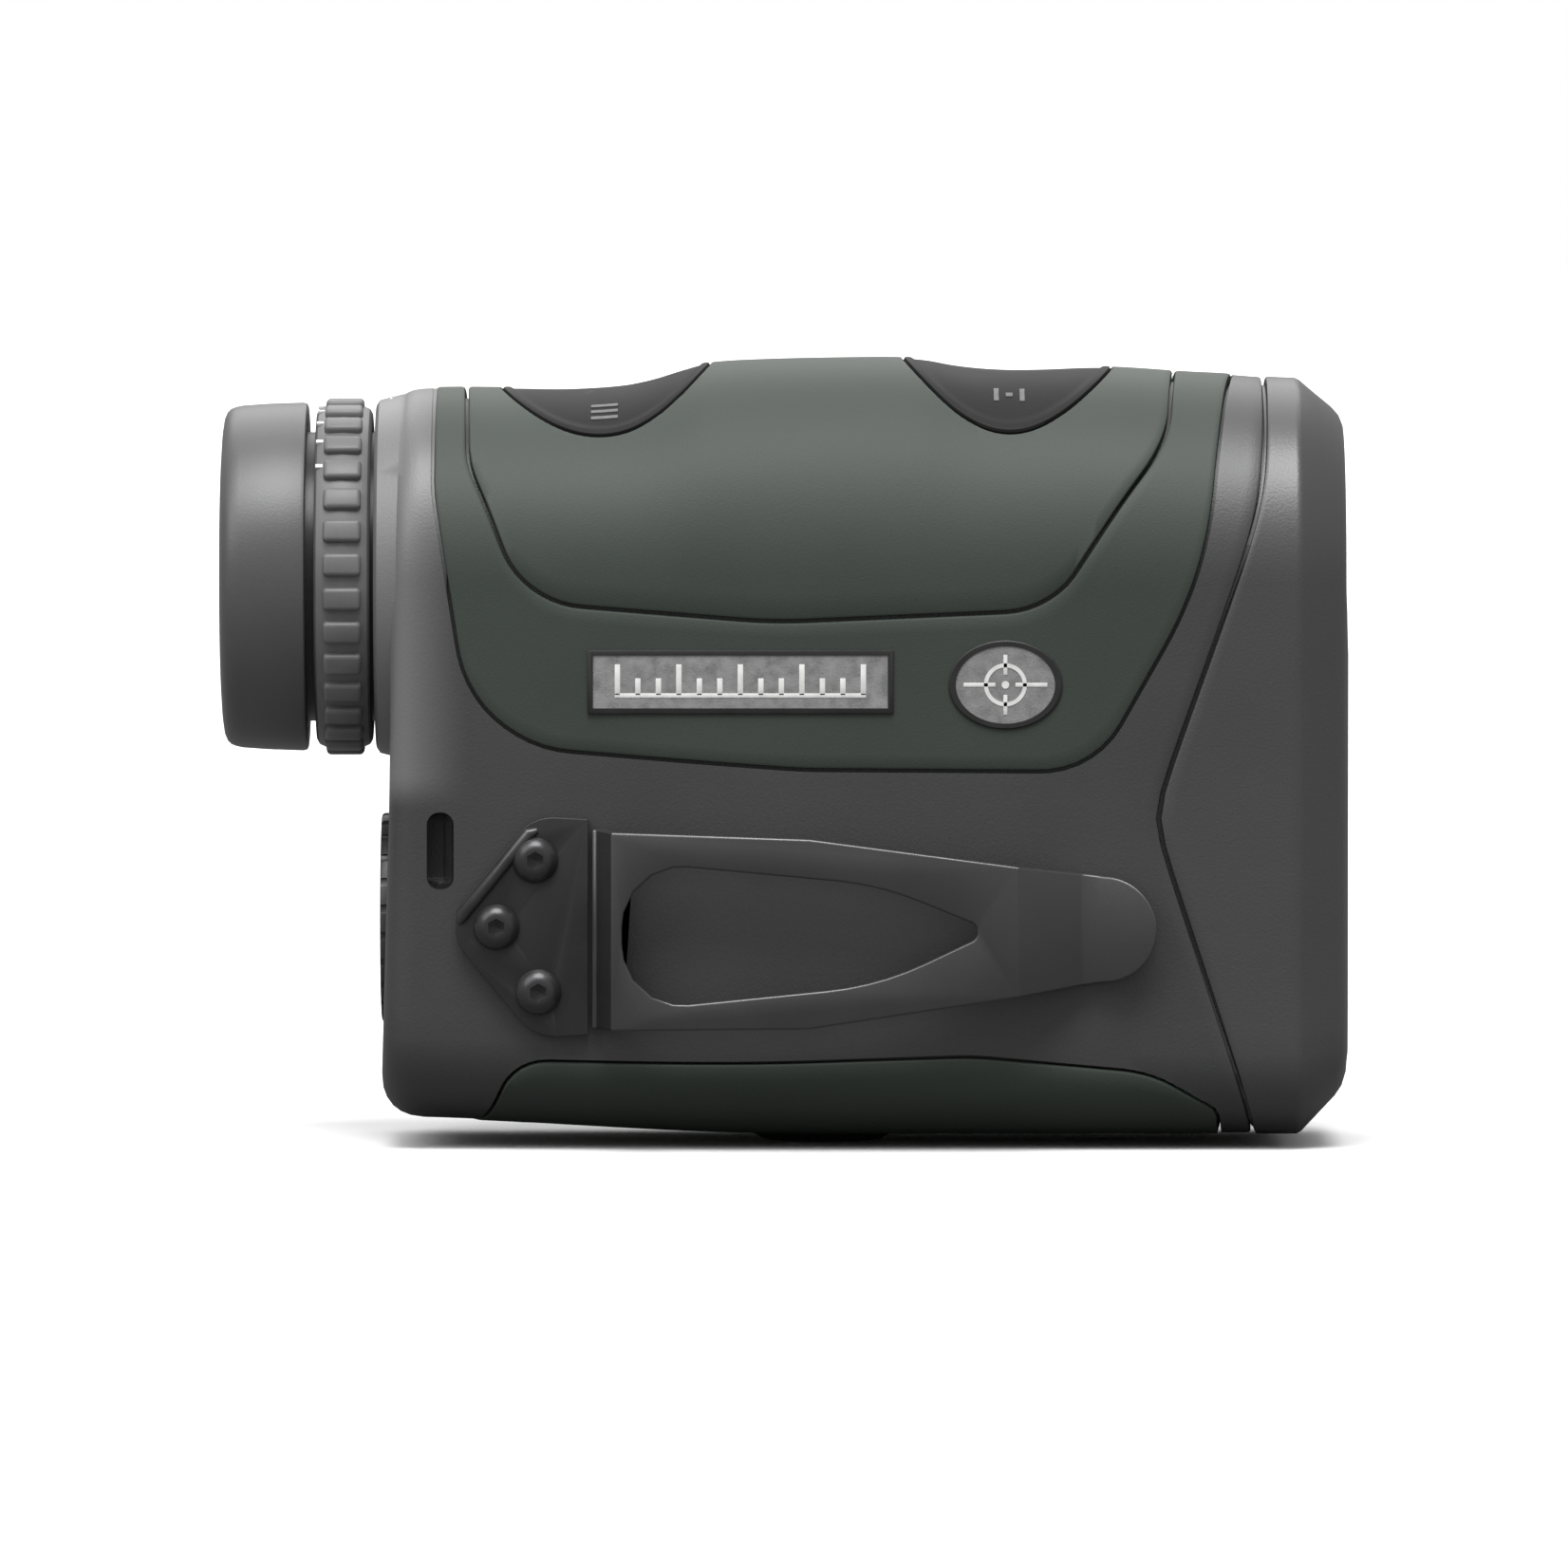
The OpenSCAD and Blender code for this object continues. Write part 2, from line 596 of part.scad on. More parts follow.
module objective_cell() color(anodised) difference() {
    tube(cell_rear_x, front_x - lens_recess, cell_r, cell_r - 2.8);
    rod(cell_rear_x - 1, cell_rear_x + 6, cell_r - 1.5);
    rod(front_x - lens_recess - 7, front_x, cell_r - 1.5);
}
module objective_lens() lens(front_x - lens_recess - 7, front_x - lens_recess - 1.6, cell_r - 1.5, 1.5);
module objective_ring() color(steel) difference() {
    tube(front_x - lens_recess - 1.6, front_x - lens_recess, cell_r - 1.5, cell_r - 2.4);
    objective_lens();
}
module focus_lens() lens(cell_rear_x + 2, cell_rear_x + 6, cell_r - 1.5, 1.2);
module prism_pair(corners) color(glass) across(-box_half_w + box_wall + air, box_half_w - box_wall - air)
    translate([0, axis_z]) polygon(corners);
module roof_prism() prism_pair([[-prism_half_l, -prism_half_h], [-1, -prism_half_h],
    [-1, prism_half_h], [-prism_half_l + 4, prism_half_h], [-prism_half_l, prism_half_h - 4]]);
module splitter_prism() prism_pair([[-0.6, -prism_half_h], [prism_half_l - 4, -prism_half_h],
    [prism_half_l, -prism_half_h + 4], [prism_half_l, prism_half_h], [-0.6, prism_half_h]]);
module prism_clamp() color(steel) block([-prism_half_l + 4.5, prism_half_l - 0.5], [-5, 5],
    [axis_z + prism_half_h, axis_z + prism_half_h + 0.5]);
module display_module() color(anodised) {
    block([-5.6, 3.6], [box_half_w - box_wall - 0.1, box_half_w + 0.5], [axis_z - 4.6, axis_z + 4.6]);
    block([-7.5, 5.5], [box_half_w, box_half_w + 1.6], [axis_z - 6.5, axis_z + 6.5]);
}
module detector_board() color(board_green) {
    block([-6, 8], [-box_half_w - 1, -box_half_w], [axis_z - 7, axis_z + 7]);
    translate([1, -box_half_w - 0.5, axis_z]) rotate([90, 0, 0]) cylinder(h = 3, r = 4);
}

// Laser, low in the front
laser_rear_x = cell_rear_x - 4;
module laser_tube() color(anodised) difference() {
    rod(laser_rear_x, front_x - lens_recess, laser_r, lower_z);
    rod(laser_rear_x + 2, front_x, laser_r - 2.2, lower_z);
    rod(front_x - lens_recess - 5, front_x, laser_r - 1.4, lower_z);
    rod(laser_rear_x - 1, laser_rear_x + 3, 2.8, lower_z);
}
module laser_diode() color(bright) {
    rod(laser_rear_x - 1.2, laser_rear_x, 4.5, lower_z);
    rod(laser_rear_x - 0.6, laser_rear_x + 4, 2.75, lower_z);
}
module collimator_lens()
    lens(front_x - lens_recess - 5, front_x - lens_recess - 0.8, laser_r - 1.4, 1, lower_z);

// Electronics
module main_board() color(board_green) difference() {
    block(main_board_x, [main_board_y - main_board_t, main_board_y], main_board_z);
    board_screw_places() cylinder(h = 10, r = board_screw_r + 0.1, center = true);
}
module board_chips() color(rubber) {
    mid = (main_board_x[0] + main_board_x[1]) / 2;
    block([mid - 14, mid - 4], [main_board_y, main_board_y + 1.4], [lower_z - 5, lower_z + 5]);
    block([mid, mid + 12], [main_board_y, main_board_y + 2], [lower_z - 8, lower_z + 6]);
    for (i = [0:3])
        block([mid - 16 + 4 * i, mid - 14 + 4 * i], [main_board_y, main_board_y + 0.9],
            [lower_z - 11, lower_z - 8]);
}
module board_screws() color(bright) board_screw_places() {
    translate([0, 0, -main_board_t - 0.9]) cylinder(h = 0.9, r = 1.8);
    translate([0, 0, -main_board_t - 0.1]) cylinder(h = main_board_t + 2.6, r = board_screw_r - 0.05);
}

// Battery compartment
module battery_tube() color(rubber) difference() {
    rod(rear_x + cap_recess, tube_end_x + 1.5, tube_r, lower_z);
    rod(rear_x, tube_end_x, tube_in_r, lower_z);
}
module battery() color("slategray") {
    rod(battery_x + 0.9, battery_x + battery_l, battery_r, lower_z);
    rod(battery_x, battery_x + 1, 3.2, lower_z);
}
// A round wire wound into a cone; rings of eight points along the winding
module battery_spring() color(bright) {
    turns = 3.5;
    steps = 44;
    sides = 8;
    x0 = tube_end_x - spring_wire_r;
    run = spring_l - 2 * spring_wire_r;
    points = [for (i = [0:steps]) let (t = i / steps, a = 360 * turns * t, r = 6.6 - 3 * t)
        for (k = [0:sides - 1]) let (b = 360 * k / sides, q = r + spring_wire_r * cos(b))
        [x0 - run * t + spring_wire_r * sin(b), q * cos(a), lower_z + q * sin(a)]];
    polyhedron(points, concat([[for (k = [sides - 1:-1:0]) k]],
        [for (i = [0:steps - 1], k = [0:sides - 1]) let (n = (k + 1) % sides)
            [i * sides + k, i * sides + n, (i + 1) * sides + n, (i + 1) * sides + k]],
        [[for (k = [0:sides - 1]) steps * sides + k]]));
}
module battery_contact() color(brass)
    rod(rear_x + cap_disc_t + plug_l, rear_x + cap_disc_t + plug_l + 0.4, 5, lower_z);
module battery_cap() color(charcoal) difference() {
    union() {
        rod(rear_x - cap_proud, rear_x + cap_disc_t, cap_r, lower_z);
        rod(rear_x, rear_x + cap_disc_t + plug_l, tube_in_r - 0.15, lower_z);
    }
    block([rear_x - 2, rear_x + 0.6], [-7, 7], [lower_z - 0.8, lower_z + 0.8]);
}
module cap_seal() color(rubber)
    tube(rear_x + cap_disc_t, rear_x + cap_recess, cap_r - 0.1, tube_r + 0.2, lower_z);

// Tripod socket
module tripod_insert() color(brass) difference() {
    cylinder(h = socket_depth + 1.5, r = 4.95);
    cylinder(h = 2 * socket_depth, r = socket_r, center = true);
}

// Belt clip: a plate screwed to the housing and a blade that springs at the fold
module clip_plate() color(steel) difference() {
    across(-clip_face_y - clip_t, -clip_face_y) root_plate();
    clip_screw_places() cylinder(h = 5, r = clip_screw_r + 0.1, center = true);
}
blade_out_y = clip_face_y + belt_gap + clip_t / 2;
blade_x = fold_x + fold_gap;
tip_x = fold_x + blade_l;
module clip_blade() color(steel) difference() {
    intersection() {
        linear_extrude(far) polygon(strip([[blade_x, -clip_face_y - clip_t / 2],
            [blade_x + 0.9, -clip_face_y - clip_t / 2], [blade_x + 2.4, -blade_out_y],
            [tip_x - 14, -blade_out_y], [tip_x - 7.6, -clip_face_y - tip_gap],
            [tip_x - 6, -clip_face_y - tip_gap], [tip_x + 1, -clip_face_y - tip_gap - 2.5]], clip_t));
        across() {
            polygon([[fold_x - 1, clip_z + blade_w / 2], [fold_x - 1, clip_z - blade_w / 2],
                [fold_x + 22, clip_z - blade_w / 2 + 0.2], [tip_x - tip_r, clip_z - tip_r],
                [tip_x - tip_r, clip_z + tip_r], [fold_x + 22, clip_z + blade_w / 2 - 0.8]]);
            translate([tip_x - tip_r, clip_z]) circle(r = tip_r);
        }
    }
    across() outline([[fold_x + 3.4, clip_z + 7, 6], [fold_x + 3.4, clip_z - 8, 6],
        [fold_x + 29, clip_z - 5.4, 30], [fold_x + 40.4, clip_z, 1],
        [fold_x + 29, clip_z + 4.6, 30]]);
}
module clip_screws() color(steel) clip_screw_places() {
    translate([0, 0, -clip_t - 1.2]) difference() {
        cylinder(h = 1.2, r1 = clip_screw_head_r - 0.5, r2 = clip_screw_head_r);
        translate([0, 0, -0.1]) cylinder(h = 0.9, r = 0.95, $fn = 6);
    }
    translate([0, 0, -clip_t - 0.1]) cylinder(h = clip_t + 3.6, r = clip_screw_r - 0.05);
}

main_housing();
front_bezel();
bezel_gasket();
upper_armour();
top_panel();
lower_armour();
nameplate();
oval_badge();
rear_button();
front_button();
button_seals();
button_board();
button_switches();
ribbon_cable();
eyepiece_barrel();
barrel_retainer();
dioptre_ring();
dioptre_pin();
ocular_cell();
eye_lens();
field_lens();
eyecup_sleeve();
eyecup_core();
eyecup_rubber();
optical_chassis();
chassis_screws();
objective_cell();
objective_ring();
objective_lens();
focus_lens();
roof_prism();
splitter_prism();
prism_clamp();
display_module();
detector_board();
laser_tube();
laser_diode();
collimator_lens();
main_board();
board_chips();
board_screws();
battery_tube();
battery();
battery_spring();
battery_contact();
battery_cap();
cap_seal();
tripod_insert();
clip_plate();
clip_blade();
clip_screws();
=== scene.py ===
import json
from math import acos, asin, cos, pi, radians, sin, sqrt, tan

import bpy
from mathutils import Matrix, Vector

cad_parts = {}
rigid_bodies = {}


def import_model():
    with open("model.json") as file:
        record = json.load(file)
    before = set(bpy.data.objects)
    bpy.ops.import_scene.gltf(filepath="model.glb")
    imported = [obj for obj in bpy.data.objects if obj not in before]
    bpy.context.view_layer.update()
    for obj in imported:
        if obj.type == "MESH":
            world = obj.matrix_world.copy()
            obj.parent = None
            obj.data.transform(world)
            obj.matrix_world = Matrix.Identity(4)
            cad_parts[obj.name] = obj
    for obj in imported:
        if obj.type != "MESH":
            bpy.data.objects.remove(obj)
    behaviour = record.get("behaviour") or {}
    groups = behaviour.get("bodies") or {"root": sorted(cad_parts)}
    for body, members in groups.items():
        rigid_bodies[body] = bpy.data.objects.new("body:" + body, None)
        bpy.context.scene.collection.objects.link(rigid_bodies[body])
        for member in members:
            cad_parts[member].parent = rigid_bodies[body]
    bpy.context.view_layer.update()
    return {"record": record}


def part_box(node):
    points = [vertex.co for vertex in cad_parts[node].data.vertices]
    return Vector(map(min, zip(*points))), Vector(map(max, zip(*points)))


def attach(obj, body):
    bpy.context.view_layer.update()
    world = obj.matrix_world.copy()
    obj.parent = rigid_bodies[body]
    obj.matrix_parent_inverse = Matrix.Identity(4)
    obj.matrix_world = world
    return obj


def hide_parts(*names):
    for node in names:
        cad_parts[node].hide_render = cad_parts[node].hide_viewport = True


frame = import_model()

mm = 0.001
scene = bpy.context.scene

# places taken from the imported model
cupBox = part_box("eyecup_rubber")
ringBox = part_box("dioptre_ring")
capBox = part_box("battery_cap")
axisZ = (cupBox[0][2] + cupBox[1][2]) / 2  # height of the optical axis
lowerZ = (capBox[0][2] + capBox[1][2]) / 2  # height of the battery and the laser
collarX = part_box("main_housing")[0][0]
wallX = collarX + 1.1 * mm  # rear wall
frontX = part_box("front_bezel")[1][0]
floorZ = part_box("lower_armour")[0][2]


# camera, floor and light
view = {
    "distance": 1.8,
    "raise": radians(2.5),  # the camera looks down a little
    "width": 158.6 * mm,  # width of the frame at the object
    "middleX": -3.84 * mm,
    "middleZ": 35.8 * mm,
    "lens": 150,
}
studio = {
    "sunPower": 2.9,  # large softbox overhead
    "sunSize": radians(34),
    "sunTurn": radians(24),  # leans towards the camera
    "rearPower": 1.1,
    "leftPower": 0.9,
    "low": 0.46,  # strength of the surroundings at the horizon
    "high": 0.6,  # and overhead
}


def addCamera(v):
    data = bpy.data.cameras.new("camera")
    cam = bpy.data.objects.new("camera", data)
    scene.collection.objects.link(cam)
    data.lens = v["lens"]
    data.sensor_width = v["width"] * v["lens"] / v["distance"]
    data.clip_start = 0.01
    target = Vector((v["middleX"], 0, v["middleZ"]))
    away = Vector((0, -cos(v["raise"]), sin(v["raise"])))
    cam.location = target + away * v["distance"]
    cam.rotation_euler = (pi / 2 - v["raise"], 0, 0)
    scene.camera = cam


def addSun(name, power, size, turn):
    data = bpy.data.lights.new(name, "SUN")
    data.energy = power
    data.angle = size
    light = bpy.data.objects.new(name, data)
    scene.collection.objects.link(light)
    light.rotation_euler = turn
    light.location = (0, 0, 0.5)


def addStudio(s):
    world = bpy.data.worlds.new("studio")
    scene.world = world
    world.use_nodes = True
    tree = world.node_tree
    back = tree.nodes["Background"]
    coords = tree.nodes.new("ShaderNodeTexCoord")
    split = tree.nodes.new("ShaderNodeSeparateXYZ")
    spread = tree.nodes.new("ShaderNodeMapRange")
    spread.inputs["From Min"].default_value = 0.0
    spread.inputs["From Max"].default_value = 0.7
    spread.inputs["To Min"].default_value = s["low"]
    spread.inputs["To Max"].default_value = s["high"]
    path = tree.nodes.new("ShaderNodeLightPath")
    white = tree.nodes.new("ShaderNodeMix")
    white.inputs[3].default_value = 1.0
    tree.links.new(coords.outputs["Generated"], split.inputs["Vector"])
    tree.links.new(split.outputs["Z"], spread.inputs["Value"])
    tree.links.new(path.outputs["Is Camera Ray"], white.inputs[0])
    tree.links.new(spread.outputs["Result"], white.inputs[2])
    tree.links.new(white.outputs[0], back.inputs["Strength"])
    back.inputs["Color"].default_value = (1, 1, 1, 1)
    scene.view_settings.view_transform = "Standard"
    addSun("topSoftbox", s["sunPower"], s["sunSize"], (s["sunTurn"], 0, 0))
    addSun("rearSoftbox", s["rearPower"], radians(50), (radians(-42), 0, 0))
    addSun("leftSoftbox", s["leftPower"], radians(40), (radians(50), 0, radians(-45)))


addCamera(view)
addStudio(studio)
print("camera and light ready")


# materials
def newMaterial(name, color, roughness, metallic=0.0):
    mat = bpy.data.materials.new(name)
    mat.use_nodes = True
    bsdf = mat.node_tree.nodes["Principled BSDF"]
    bsdf.inputs["Base Color"].default_value = (*color, 1)
    bsdf.inputs["Roughness"].default_value = roughness
    bsdf.inputs["Metallic"].default_value = metallic
    return mat, mat.node_tree, bsdf


def addNode(tree, kind, **values):
    node = tree.nodes.new(kind)
    for key, value in values.items():
        if key in node.inputs:
            node.inputs[key].default_value = value
        else:
            setattr(node, key, value)
    return node


def addNoise(tree, scale, detail=3.0, stretch=(1, 1, 1)):
    coords = addNode(tree, "ShaderNodeTexCoord")
    mapping = addNode(tree, "ShaderNodeMapping")
    mapping.inputs["Scale"].default_value = stretch
    noise = addNode(tree, "ShaderNodeTexNoise", Scale=scale, Detail=detail)
    tree.links.new(coords.outputs["Object"], mapping.inputs["Vector"])
    tree.links.new(mapping.outputs["Vector"], noise.inputs["Vector"])
    return noise.outputs["Fac"]


def addRamp(tree, source, low, high, start=0.3, end=0.7):
    ramp = addNode(tree, "ShaderNodeValToRGB")
    ramp.color_ramp.elements[0].position = start
    ramp.color_ramp.elements[0].color = (*low, 1)
    ramp.color_ramp.elements[1].position = end
    ramp.color_ramp.elements[1].color = (*high, 1)
    tree.links.new(source, ramp.inputs["Fac"])
    return ramp.outputs["Color"]


def addRange(tree, source, low, high):
    spread = addNode(tree, "ShaderNodeMapRange")
    spread.inputs["To Min"].default_value = low
    spread.inputs["To Max"].default_value = high
    tree.links.new(source, spread.inputs["Value"])
    return spread.outputs["Result"]


def addBump(tree, source, strength, distance, under=None):
    bump = addNode(tree, "ShaderNodeBump", Strength=strength, Distance=distance)
    tree.links.new(source, bump.inputs["Height"])
    if under:
        tree.links.new(under, bump.inputs["Normal"])
    return bump.outputs["Normal"]


def mixColors(tree, factor, first, second, blend="MIX"):
    mix = addNode(tree, "ShaderNodeMix", data_type="RGBA", blend_type=blend)
    for slot, value in ((0, factor), (6, first), (7, second)):
        if isinstance(value, (int, float)):
            mix.inputs[slot].default_value = value
        elif isinstance(value, tuple):
            mix.inputs[slot].default_value = (*value, 1)
        else:
            tree.links.new(value, mix.inputs[slot])
    return mix.outputs[2]


def fade(tree, source, start, end):  # 0 at the start, 1 at the end
    spread = addNode(tree, "ShaderNodeMapRange", interpolation_type="SMOOTHSTEP")
    spread.inputs["From Min"].default_value = start
    spread.inputs["From Max"].default_value = end
    tree.links.new(source, spread.inputs["Value"])
    return spread.outputs["Result"]


def paintedCollarHighlight(tree, color, pale):  # painted highlight: the collar behind the eyepiece is painted lighter above the axis, where the light falls on it
    coords = addNode(tree, "ShaderNodeTexCoord")
    split = addNode(tree, "ShaderNodeSeparateXYZ")
    tree.links.new(coords.outputs["Object"], split.inputs["Vector"])
    back = fade(tree, split.outputs["X"], wallX + pale["reach"], wallX)
    high = fade(tree, split.outputs["Z"], axisZ - pale["below"] - 4 * mm, axisZ - pale["below"])
    share = addNode(tree, "ShaderNodeMath", operation="MULTIPLY")
    tree.links.new(back, share.inputs[0])
    tree.links.new(high, share.inputs[1])
    return mixColors(tree, share.outputs[0], color, pale["color"])


# Moulded surface: grain in the bump, cloudy colour and roughness, rubbed lighter edges, and where a finish
# has a pale entry a painted highlight on the collar
def mouldedMaterial(name, m):
    mat, tree, bsdf = newMaterial(name, m["color"], m["roughness"], m.get("metallic", 0.0))
    dark = tuple(c * (1 - m["cloud"]) for c in m["color"])
    light = tuple(c * (1 + m["cloud"]) for c in m["color"])
    cloud = addNoise(tree, m["cloudScale"], 4.0)
    color = addRamp(tree, cloud, dark, light)
    grain = addNoise(tree, m["grainScale"], 2.0)
    speck = addRange(tree, grain, 1 - m["speck"], 1 + m["speck"])
    color = mixColors(tree, 1.0, color, speck, "MULTIPLY")
    geometry = addNode(tree, "ShaderNodeNewGeometry")
    edge = addRamp(tree, geometry.outputs["Pointiness"], (0, 0, 0), (1, 1, 1), 0.53, 0.62)
    wear = mixColors(tree, 1.0, edge, addRamp(tree, cloud, (0, 0, 0), (1, 1, 1), 0.35, 0.75), "MULTIPLY")
    worn = tuple(min(1.0, c * m["wear"]) for c in m["color"])
    color = mixColors(tree, wear, color, worn)
    # painted highlight on the collar behind the eyepiece
    if "pale" in m:
        color = paintedCollarHighlight(tree, color, m["pale"])
    tree.links.new(color, bsdf.inputs["Base Color"])
    rough = addRange(tree, cloud, m["roughness"] - m["roughSpread"], m["roughness"] + m["roughSpread"])
    tree.links.new(rough, bsdf.inputs["Roughness"])
    normal = addBump(tree, grain, m["bump"], m["grainDepth"])
    tree.links.new(normal, bsdf.inputs["Normal"])
    bsdf.inputs["Specular IOR Level"].default_value = m.get("specular", 0.5)
    return mat


finishes = {
    "charcoal": {"color": (0.034, 0.034, 0.0345), "roughness": 0.45, "roughSpread": 0.06, "cloud": 0.06,
                 "cloudScale": 60, "grainScale": 3800, "grainDepth": 0.00006, "bump": 0.35,
                 "speck": 0.10, "wear": 1.5, "specular": 0.75,
                 # pale: colour and reach of the painted highlight on the collar
                 "pale": {"color": (0.155, 0.155, 0.155), "reach": 9 * mm, "below": 19 * mm}},
    "bezel": {"color": (0.036, 0.036, 0.0365), "roughness": 0.42, "roughSpread": 0.06, "cloud": 0.06,
              "cloudScale": 60, "grainScale": 3800, "grainDepth": 0.00006, "bump": 0.35,
              "speck": 0.10, "wear": 1.5, "specular": 0.9},
    "armour": {"color": (0.036, 0.046, 0.038), "roughness": 0.56, "roughSpread": 0.05, "cloud": 0.07,
               "cloudScale": 50, "grainScale": 5200, "grainDepth": 0.00005, "bump": 0.35,
               "speck": 0.10, "wear": 1.35, "specular": 0.4},
    "rubber": {"color": (0.072, 0.072, 0.0725), "roughness": 0.42, "roughSpread": 0.06, "cloud": 0.08,
               "cloudScale": 90, "grainScale": 4500, "grainDepth": 0.00005, "bump": 0.3,
               "speck": 0.08, "wear": 1.35, "specular": 0.7},
    "steel": {"color": (0.02, 0.02, 0.0205), "roughness": 0.34, "roughSpread": 0.07, "cloud": 0.10,
              "cloudScale": 110, "grainScale": 6000, "grainDepth": 0.00003, "bump": 0.25,
              "speck": 0.12, "wear": 2.2, "specular": 1.0},
    "anodised": {"color": (0.02, 0.02, 0.021), "roughness": 0.38, "roughSpread": 0.05, "cloud": 0.06,
                 "cloudScale": 120, "grainScale": 6000, "grainDepth": 0.00002, "bump": 0.2,
                 "speck": 0.06, "wear": 2.0},
    "label": {"color": (0.23, 0.23, 0.23), "roughness": 0.45, "roughSpread": 0.08, "cloud": 0.12,
              "cloudScale": 700, "grainScale": 5000, "grainDepth": 0.00006, "bump": 0.5,
              "speck": 0.3, "wear": 1.4, "metallic": 0.2},
    "board": {"color": (0.02, 0.10, 0.045), "roughness": 0.35, "roughSpread": 0.05, "cloud": 0.08,
              "cloudScale": 200, "grainScale": 3000, "grainDepth": 0.00003, "bump": 0.2,
              "speck": 0.1, "wear": 1.3},
    "flex": {"color": (0.45, 0.2, 0.04), "roughness": 0.35, "roughSpread": 0.05, "cloud": 0.06,
             "cloudScale": 300, "grainScale": 3000, "grainDepth": 0.00002, "bump": 0.1,
             "speck": 0.05, "wear": 1.2},
    "bright": {"color": (0.6, 0.6, 0.61), "roughness": 0.28, "roughSpread": 0.08, "cloud": 0.05,
               "cloudScale": 400, "grainScale": 5000, "grainDepth": 0.00002, "bump": 0.15,
               "speck": 0.06, "wear": 1.2, "metallic": 1.0},
    "brass": {"color": (0.7, 0.48, 0.2), "roughness": 0.3, "roughSpread": 0.08, "cloud": 0.08,
              "cloudScale": 300, "grainScale": 5000, "grainDepth": 0.00002, "bump": 0.15,
              "speck": 0.06, "wear": 1.2, "metallic": 1.0},
    "wrap": {"color": (0.03, 0.07, 0.2), "roughness": 0.3, "roughSpread": 0.05, "cloud": 0.05,
             "cloudScale": 100, "grainScale": 2500, "grainDepth": 0.00002, "bump": 0.1,
             "speck": 0.04, "wear": 1.3},
    "button": {"color": (0.01, 0.0095, 0.01), "roughness": 0.6, "roughSpread": 0.06, "cloud": 0.08,
               "cloudScale": 90, "grainScale": 4200, "grainDepth": 0.00005, "bump": 0.3,
               "speck": 0.1, "wear": 3.2, "specular": 0.2},
    "ribbed": {"color": (0.125, 0.125, 0.126), "roughness": 0.45, "roughSpread": 0.06, "cloud": 0.08,
               "cloudScale": 120, "grainScale": 4500, "grainDepth": 0.00004, "bump": 0.3,
               "speck": 0.08, "wear": 1.6},
    "plate": {"color": (0.013, 0.013, 0.0135), "roughness": 0.45, "roughSpread": 0.07, "cloud": 0.1,
              "cloudScale": 110, "grainScale": 6000, "grainDepth": 0.00003, "bump": 0.25,
              "speck": 0.12, "wear": 2.4},
    "screw": {"color": (0.05, 0.05, 0.052), "roughness": 0.3, "roughSpread": 0.06, "cloud": 0.1,
              "cloudScale": 300, "grainScale": 6000, "grainDepth": 0.00002, "bump": 0.2,
              "speck": 0.1, "wear": 2.0, "metallic": 0.6},
    "rim": {"color": (0.03, 0.03, 0.0305), "roughness": 0.42, "roughSpread": 0.06, "cloud": 0.08,
            "cloudScale": 150, "grainScale": 4200, "grainDepth": 0.00004, "bump": 0.3,
            "speck": 0.1, "wear": 2.6},
    "frame": {"color": (0.012, 0.012, 0.012), "roughness": 0.45, "roughSpread": 0.06, "cloud": 0.1,
              "cloudScale": 400, "grainScale": 6000, "grainDepth": 0.00002, "bump": 0.2,
              "speck": 0.1, "wear": 2.0},
    "dimMark": {"color": (0.13, 0.13, 0.13), "roughness": 0.6, "roughSpread": 0.05, "cloud": 0.15,
                "cloudScale": 1500, "grainScale": 5000, "grainDepth": 0.00002, "bump": 0.2,
                "speck": 0.15, "wear": 1.1},
    "mark": {"color": (0.72, 0.72, 0.71), "roughness": 0.5, "roughSpread": 0.05, "cloud": 0.08,
             "cloudScale": 900, "grainScale": 5000, "grainDepth": 0.00002, "bump": 0.2,
             "speck": 0.1, "wear": 1.1},
}
looks = {name: mouldedMaterial(name, values) for name, values in finishes.items()}


def glassMaterial(name, color):
    mat, tree, bsdf = newMaterial(name, color, 0.03)
    smear = addNoise(tree, 300, 2.0)
    tree.links.new(addRange(tree, smear, 0.02, 0.07), bsdf.inputs["Roughness"])
    tint = addRamp(tree, smear, tuple(c * 0.9 for c in color), color)
    tree.links.new(tint, bsdf.inputs["Base Color"])
    bsdf.inputs["Transmission Weight"].default_value = 0.92
    bsdf.inputs["IOR"].default_value = 1.5
    bsdf.inputs["Coat Weight"].default_value = 0.6
    bsdf.inputs["Coat Tint"].default_value = (0.45, 0.35, 0.8, 1)
    return mat


looks["glass"] = glassMaterial("glass", (0.72, 0.8, 0.85))
slotLooks = {
    "charcoal_polymer": "charcoal", "green_armour": "armour", "black_rubber": "rubber",
    "black_steel": "steel", "black_anodised": "anodised", "label_metal": "label",
    "coated_glass": "glass", "circuit_board": "board", "flex_polymer": "flex",
    "bright_steel": "bright", "brass": "brass", "cell_wrap": "wrap",
}


def finishCadNodes():
    for part in frame["record"]["subparts"]:
        node = bpy.data.objects[part["node"]]
        node.data.materials.clear()
        node.data.materials.append(looks[slotLooks[part["material_slot"]]])


finishCadNodes()
print("materials ready")


# the body's surface: x along the body, a = millimetres round the section from the roof's middle
body = {
    # (distance from the rear wall, height of the roof above the axis), millimetres
    "roof": [(-4, 18.4), (0, 18.9), (6, 19.2), (17.5, 19.15), (23.6, 19.5), (26.7, 20.1), (29.8, 21.0),
             (32.4, 21.65), (38, 22.0), (47.2, 22.2), (52.0, 22.2), (54.5, 22.0), (57.2, 21.55),
             (60.6, 21.2), (64, 21.1), (70.7, 21.25), (74.1, 21.2), (80.9, 20.75), (84, 20.6),
             (90.6, 20.15), (101, 20.0)],
    "halfWidth": 19.95,
    "rearTuck": 0.5,
    "floorCorner": 8.5,
    "floorRise": 1.6,
}
axis = axisZ / mm
wall = wallX / mm
front = frontX / mm
floor = floorZ / mm
roofArc = body["halfWidth"] * pi / 2
sideLength = axis - floor - body["floorCorner"]
